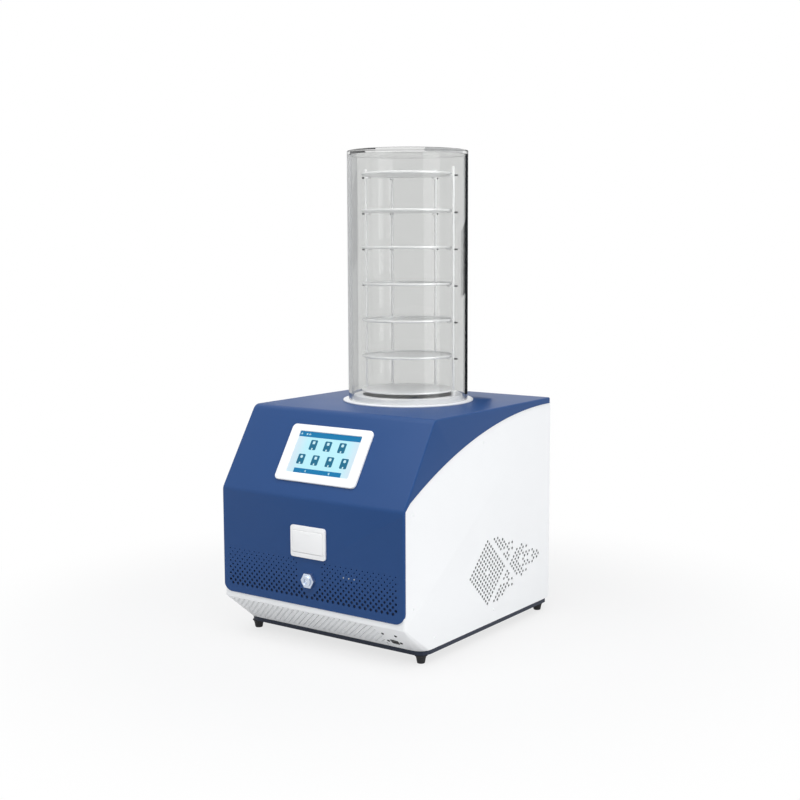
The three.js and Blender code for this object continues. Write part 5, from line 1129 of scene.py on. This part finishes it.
def white_where_seen(tree, shader_output, target, share=None):
    """Mixes plain white in for camera, glossy and transmission rays, by the given share."""
    path = add_node(tree, "ShaderNodeLightPath")
    white = add_node(tree, "ShaderNodeEmission", {"Color": (1, 1, 1, 1), "Strength": 1})
    seen = path.outputs["Is Camera Ray"]
    for kind in ("Is Glossy Ray", "Is Transmission Ray"):
        seen = add_node(tree, "ShaderNodeMath", {
            0: seen, 1: path.outputs[kind]}, operation="MAXIMUM").outputs[0]
    if share:
        seen = add_node(tree, "ShaderNodeMath", {
            0: seen, 1: share}, operation="MULTIPLY").outputs[0]
    mix = add_node(tree, "ShaderNodeMixShader", {
        "Fac": seen, 1: shader_output, 2: white.outputs[0]})
    feed(tree, target, mix.outputs[0])


def distance_fade(material, near, far, least):
    """Share that grows with the distance from the middle."""
    tree = material.node_tree
    length = add_node(
        tree, "ShaderNodeVectorMath", {0: coordinates(material)}, operation="LENGTH")
    return soft_step(tree, length.outputs["Value"], near, far, least)


def flag(name, colour, turn, size, distance=2.5, middle=0.7, beside=0.0):
    """Upright card hidden from the camera, seen in reflections and through the clear wall.

    It stands turn degrees to the right of the line of sight, at a distance from a point that
    lies beside the chamber's axis.
    """
    sight = math.atan2(LOOK.y, LOOK.x)
    azimuth = sight - math.radians(turn)
    away = Vector((math.cos(azimuth), math.sin(azimuth), 0))
    right = Vector((math.sin(sight), -math.cos(sight), 0))
    drop_selection()
    bpy.ops.mesh.primitive_plane_add(size=1, rotation=(UPRIGHT, 0, azimuth - UPRIGHT))
    card = fresh(name)
    card.scale = (*size, 1)
    card.location = Vector((CHAMBER_X, CHAMBER_Y, middle)) + right * beside + away * distance
    settle(card)
    material = new_material(f"{name}_felt", colour, 0.95)[0]
    card.data.materials.append(material)
    card.visible_camera = False
    card.visible_diffuse = False
    card.visible_shadow = False


LOOK = Vector((-0.578856, 0.806568, -0.11987))
ROLL = math.radians(-0.2)
CAMERA_PLACE = (1.4681, -2.0309, 0.742)
LIT_MIDDLE = (0, 0, 0.4)
BLACK = (0.01, 0.011, 0.014)
PALE_GREY = (0.74, 0.74, 0.74)


class DRYER_OT_stage(bpy.types.Operator):
    """Pale floor, soft lights and the camera"""

    bl_idname = "dryer.stage"
    bl_label = "Studio"

    def execute(self, context):
        studio = context.scene.dryer_studio
        drop_selection()
        bpy.ops.mesh.primitive_plane_add(size=40, location=(0, 0, 0))
        floor = fresh("studio_floor")
        floor_paint, shader = new_material("pale_floor", (0.68, 0.68, 0.68), 0.9)
        white_where_seen(
            floor_paint.node_tree, shader.outputs[0],
            floor_paint.node_tree.nodes["Material Output"].inputs["Surface"],
            distance_fade(floor_paint, 0.45, 1.0, 0.74))
        floor.data.materials.append(floor_paint)
        flag("edge_flag", BLACK, 36, (0.048, 0.5), 0.06, 0.69, beside=0.113)
        flag("roof_flag", BLACK, 39.5, (1.77, 0.3), middle=0.745)
        flag("grey_flag", PALE_GREY, -30, (1.9, 1.5))

        world = bpy.data.worlds.new("studio_world")
        world.use_nodes = True
        context.scene.world = world
        tree = world.node_tree
        ambient = tree.nodes["Background"]
        ambient.inputs["Color"].default_value = (0.93, 0.96, 1.0, 1)
        ambient.inputs["Strength"].default_value = 0.45
        white_where_seen(tree, ambient.outputs[0], tree.nodes["World Output"].inputs["Surface"])

        flat_light("overhead_light", studio.overhead, (3.0, 3.0), (0.2, -1.0, 2.8))
        side = flat_light("side_light", studio.side, (1.6, 2.2), (2.6, -0.3, 1.0))
        side.visible_glossy = False
        flat_light("front_light", studio.front, (1.8, 1.8), (-1.6, -2.4, 1.6))

        camera_data = bpy.data.cameras.new("studio_camera")
        camera = bpy.data.objects.new("studio_camera", camera_data)
        context.collection.objects.link(camera)
        camera_data.lens = studio.lens
        camera_data.sensor_width = 36
        camera.location = CAMERA_PLACE
        turn = LOOK.to_track_quat("-Z", "Y") @ Quaternion((0, 0, 1), ROLL)
        camera.rotation_euler = turn.to_euler()
        context.scene.camera = camera
        context.scene.view_settings.view_transform = "Standard"
        return {"FINISHED"}


# ---- Add-on ------------------------------------------------------------------------------
OPERATORS = (
    DRYER_OT_stage, DRYER_OT_cover, DRYER_OT_body, DRYER_OT_filters, DRYER_OT_feet, DRYER_OT_screws,
    DRYER_OT_chamber, DRYER_OT_rack, DRYER_OT_screen, DRYER_OT_printer, DRYER_OT_drain)


class DRYER_PT_panel(bpy.types.Panel):
    """Lists the dryer's settings and pieces in the sidebar"""

    bl_idname = "DRYER_PT_panel"
    bl_label = "Freeze Dryer"
    bl_space_type = "VIEW_3D"
    bl_region_type = "UI"
    bl_category = "Freeze Dryer"

    def draw(self, context):
        for group in (
                context.scene.dryer_cabinet, context.scene.dryer_colours,
                context.scene.dryer_studio):
            box = self.layout.box()
            for key in group.__annotations__:
                box.prop(group, key)
        for operator in OPERATORS:
            self.layout.operator(operator.bl_idname)


GROUPS = {
    "dryer_cabinet": CabinetSettings, "dryer_colours": ColourSettings,
    "dryer_studio": StudioSettings}


def register():
    for cls in (*GROUPS.values(), *OPERATORS, DRYER_PT_panel):
        bpy.utils.register_class(cls)
    for name, group in GROUPS.items():
        setattr(bpy.types.Scene, name, PointerProperty(type=group))


def unregister():
    for name in GROUPS:
        delattr(bpy.types.Scene, name)
    for cls in reversed((*GROUPS.values(), *OPERATORS, DRYER_PT_panel)):
        bpy.utils.unregister_class(cls)


def main():
    register()
    make_finishes()
    for operator in OPERATORS:
        group, name = operator.bl_idname.split(".")
        getattr(getattr(bpy.ops, group), name)()
    drop_selection()


if __name__ == "__main__":
    main()
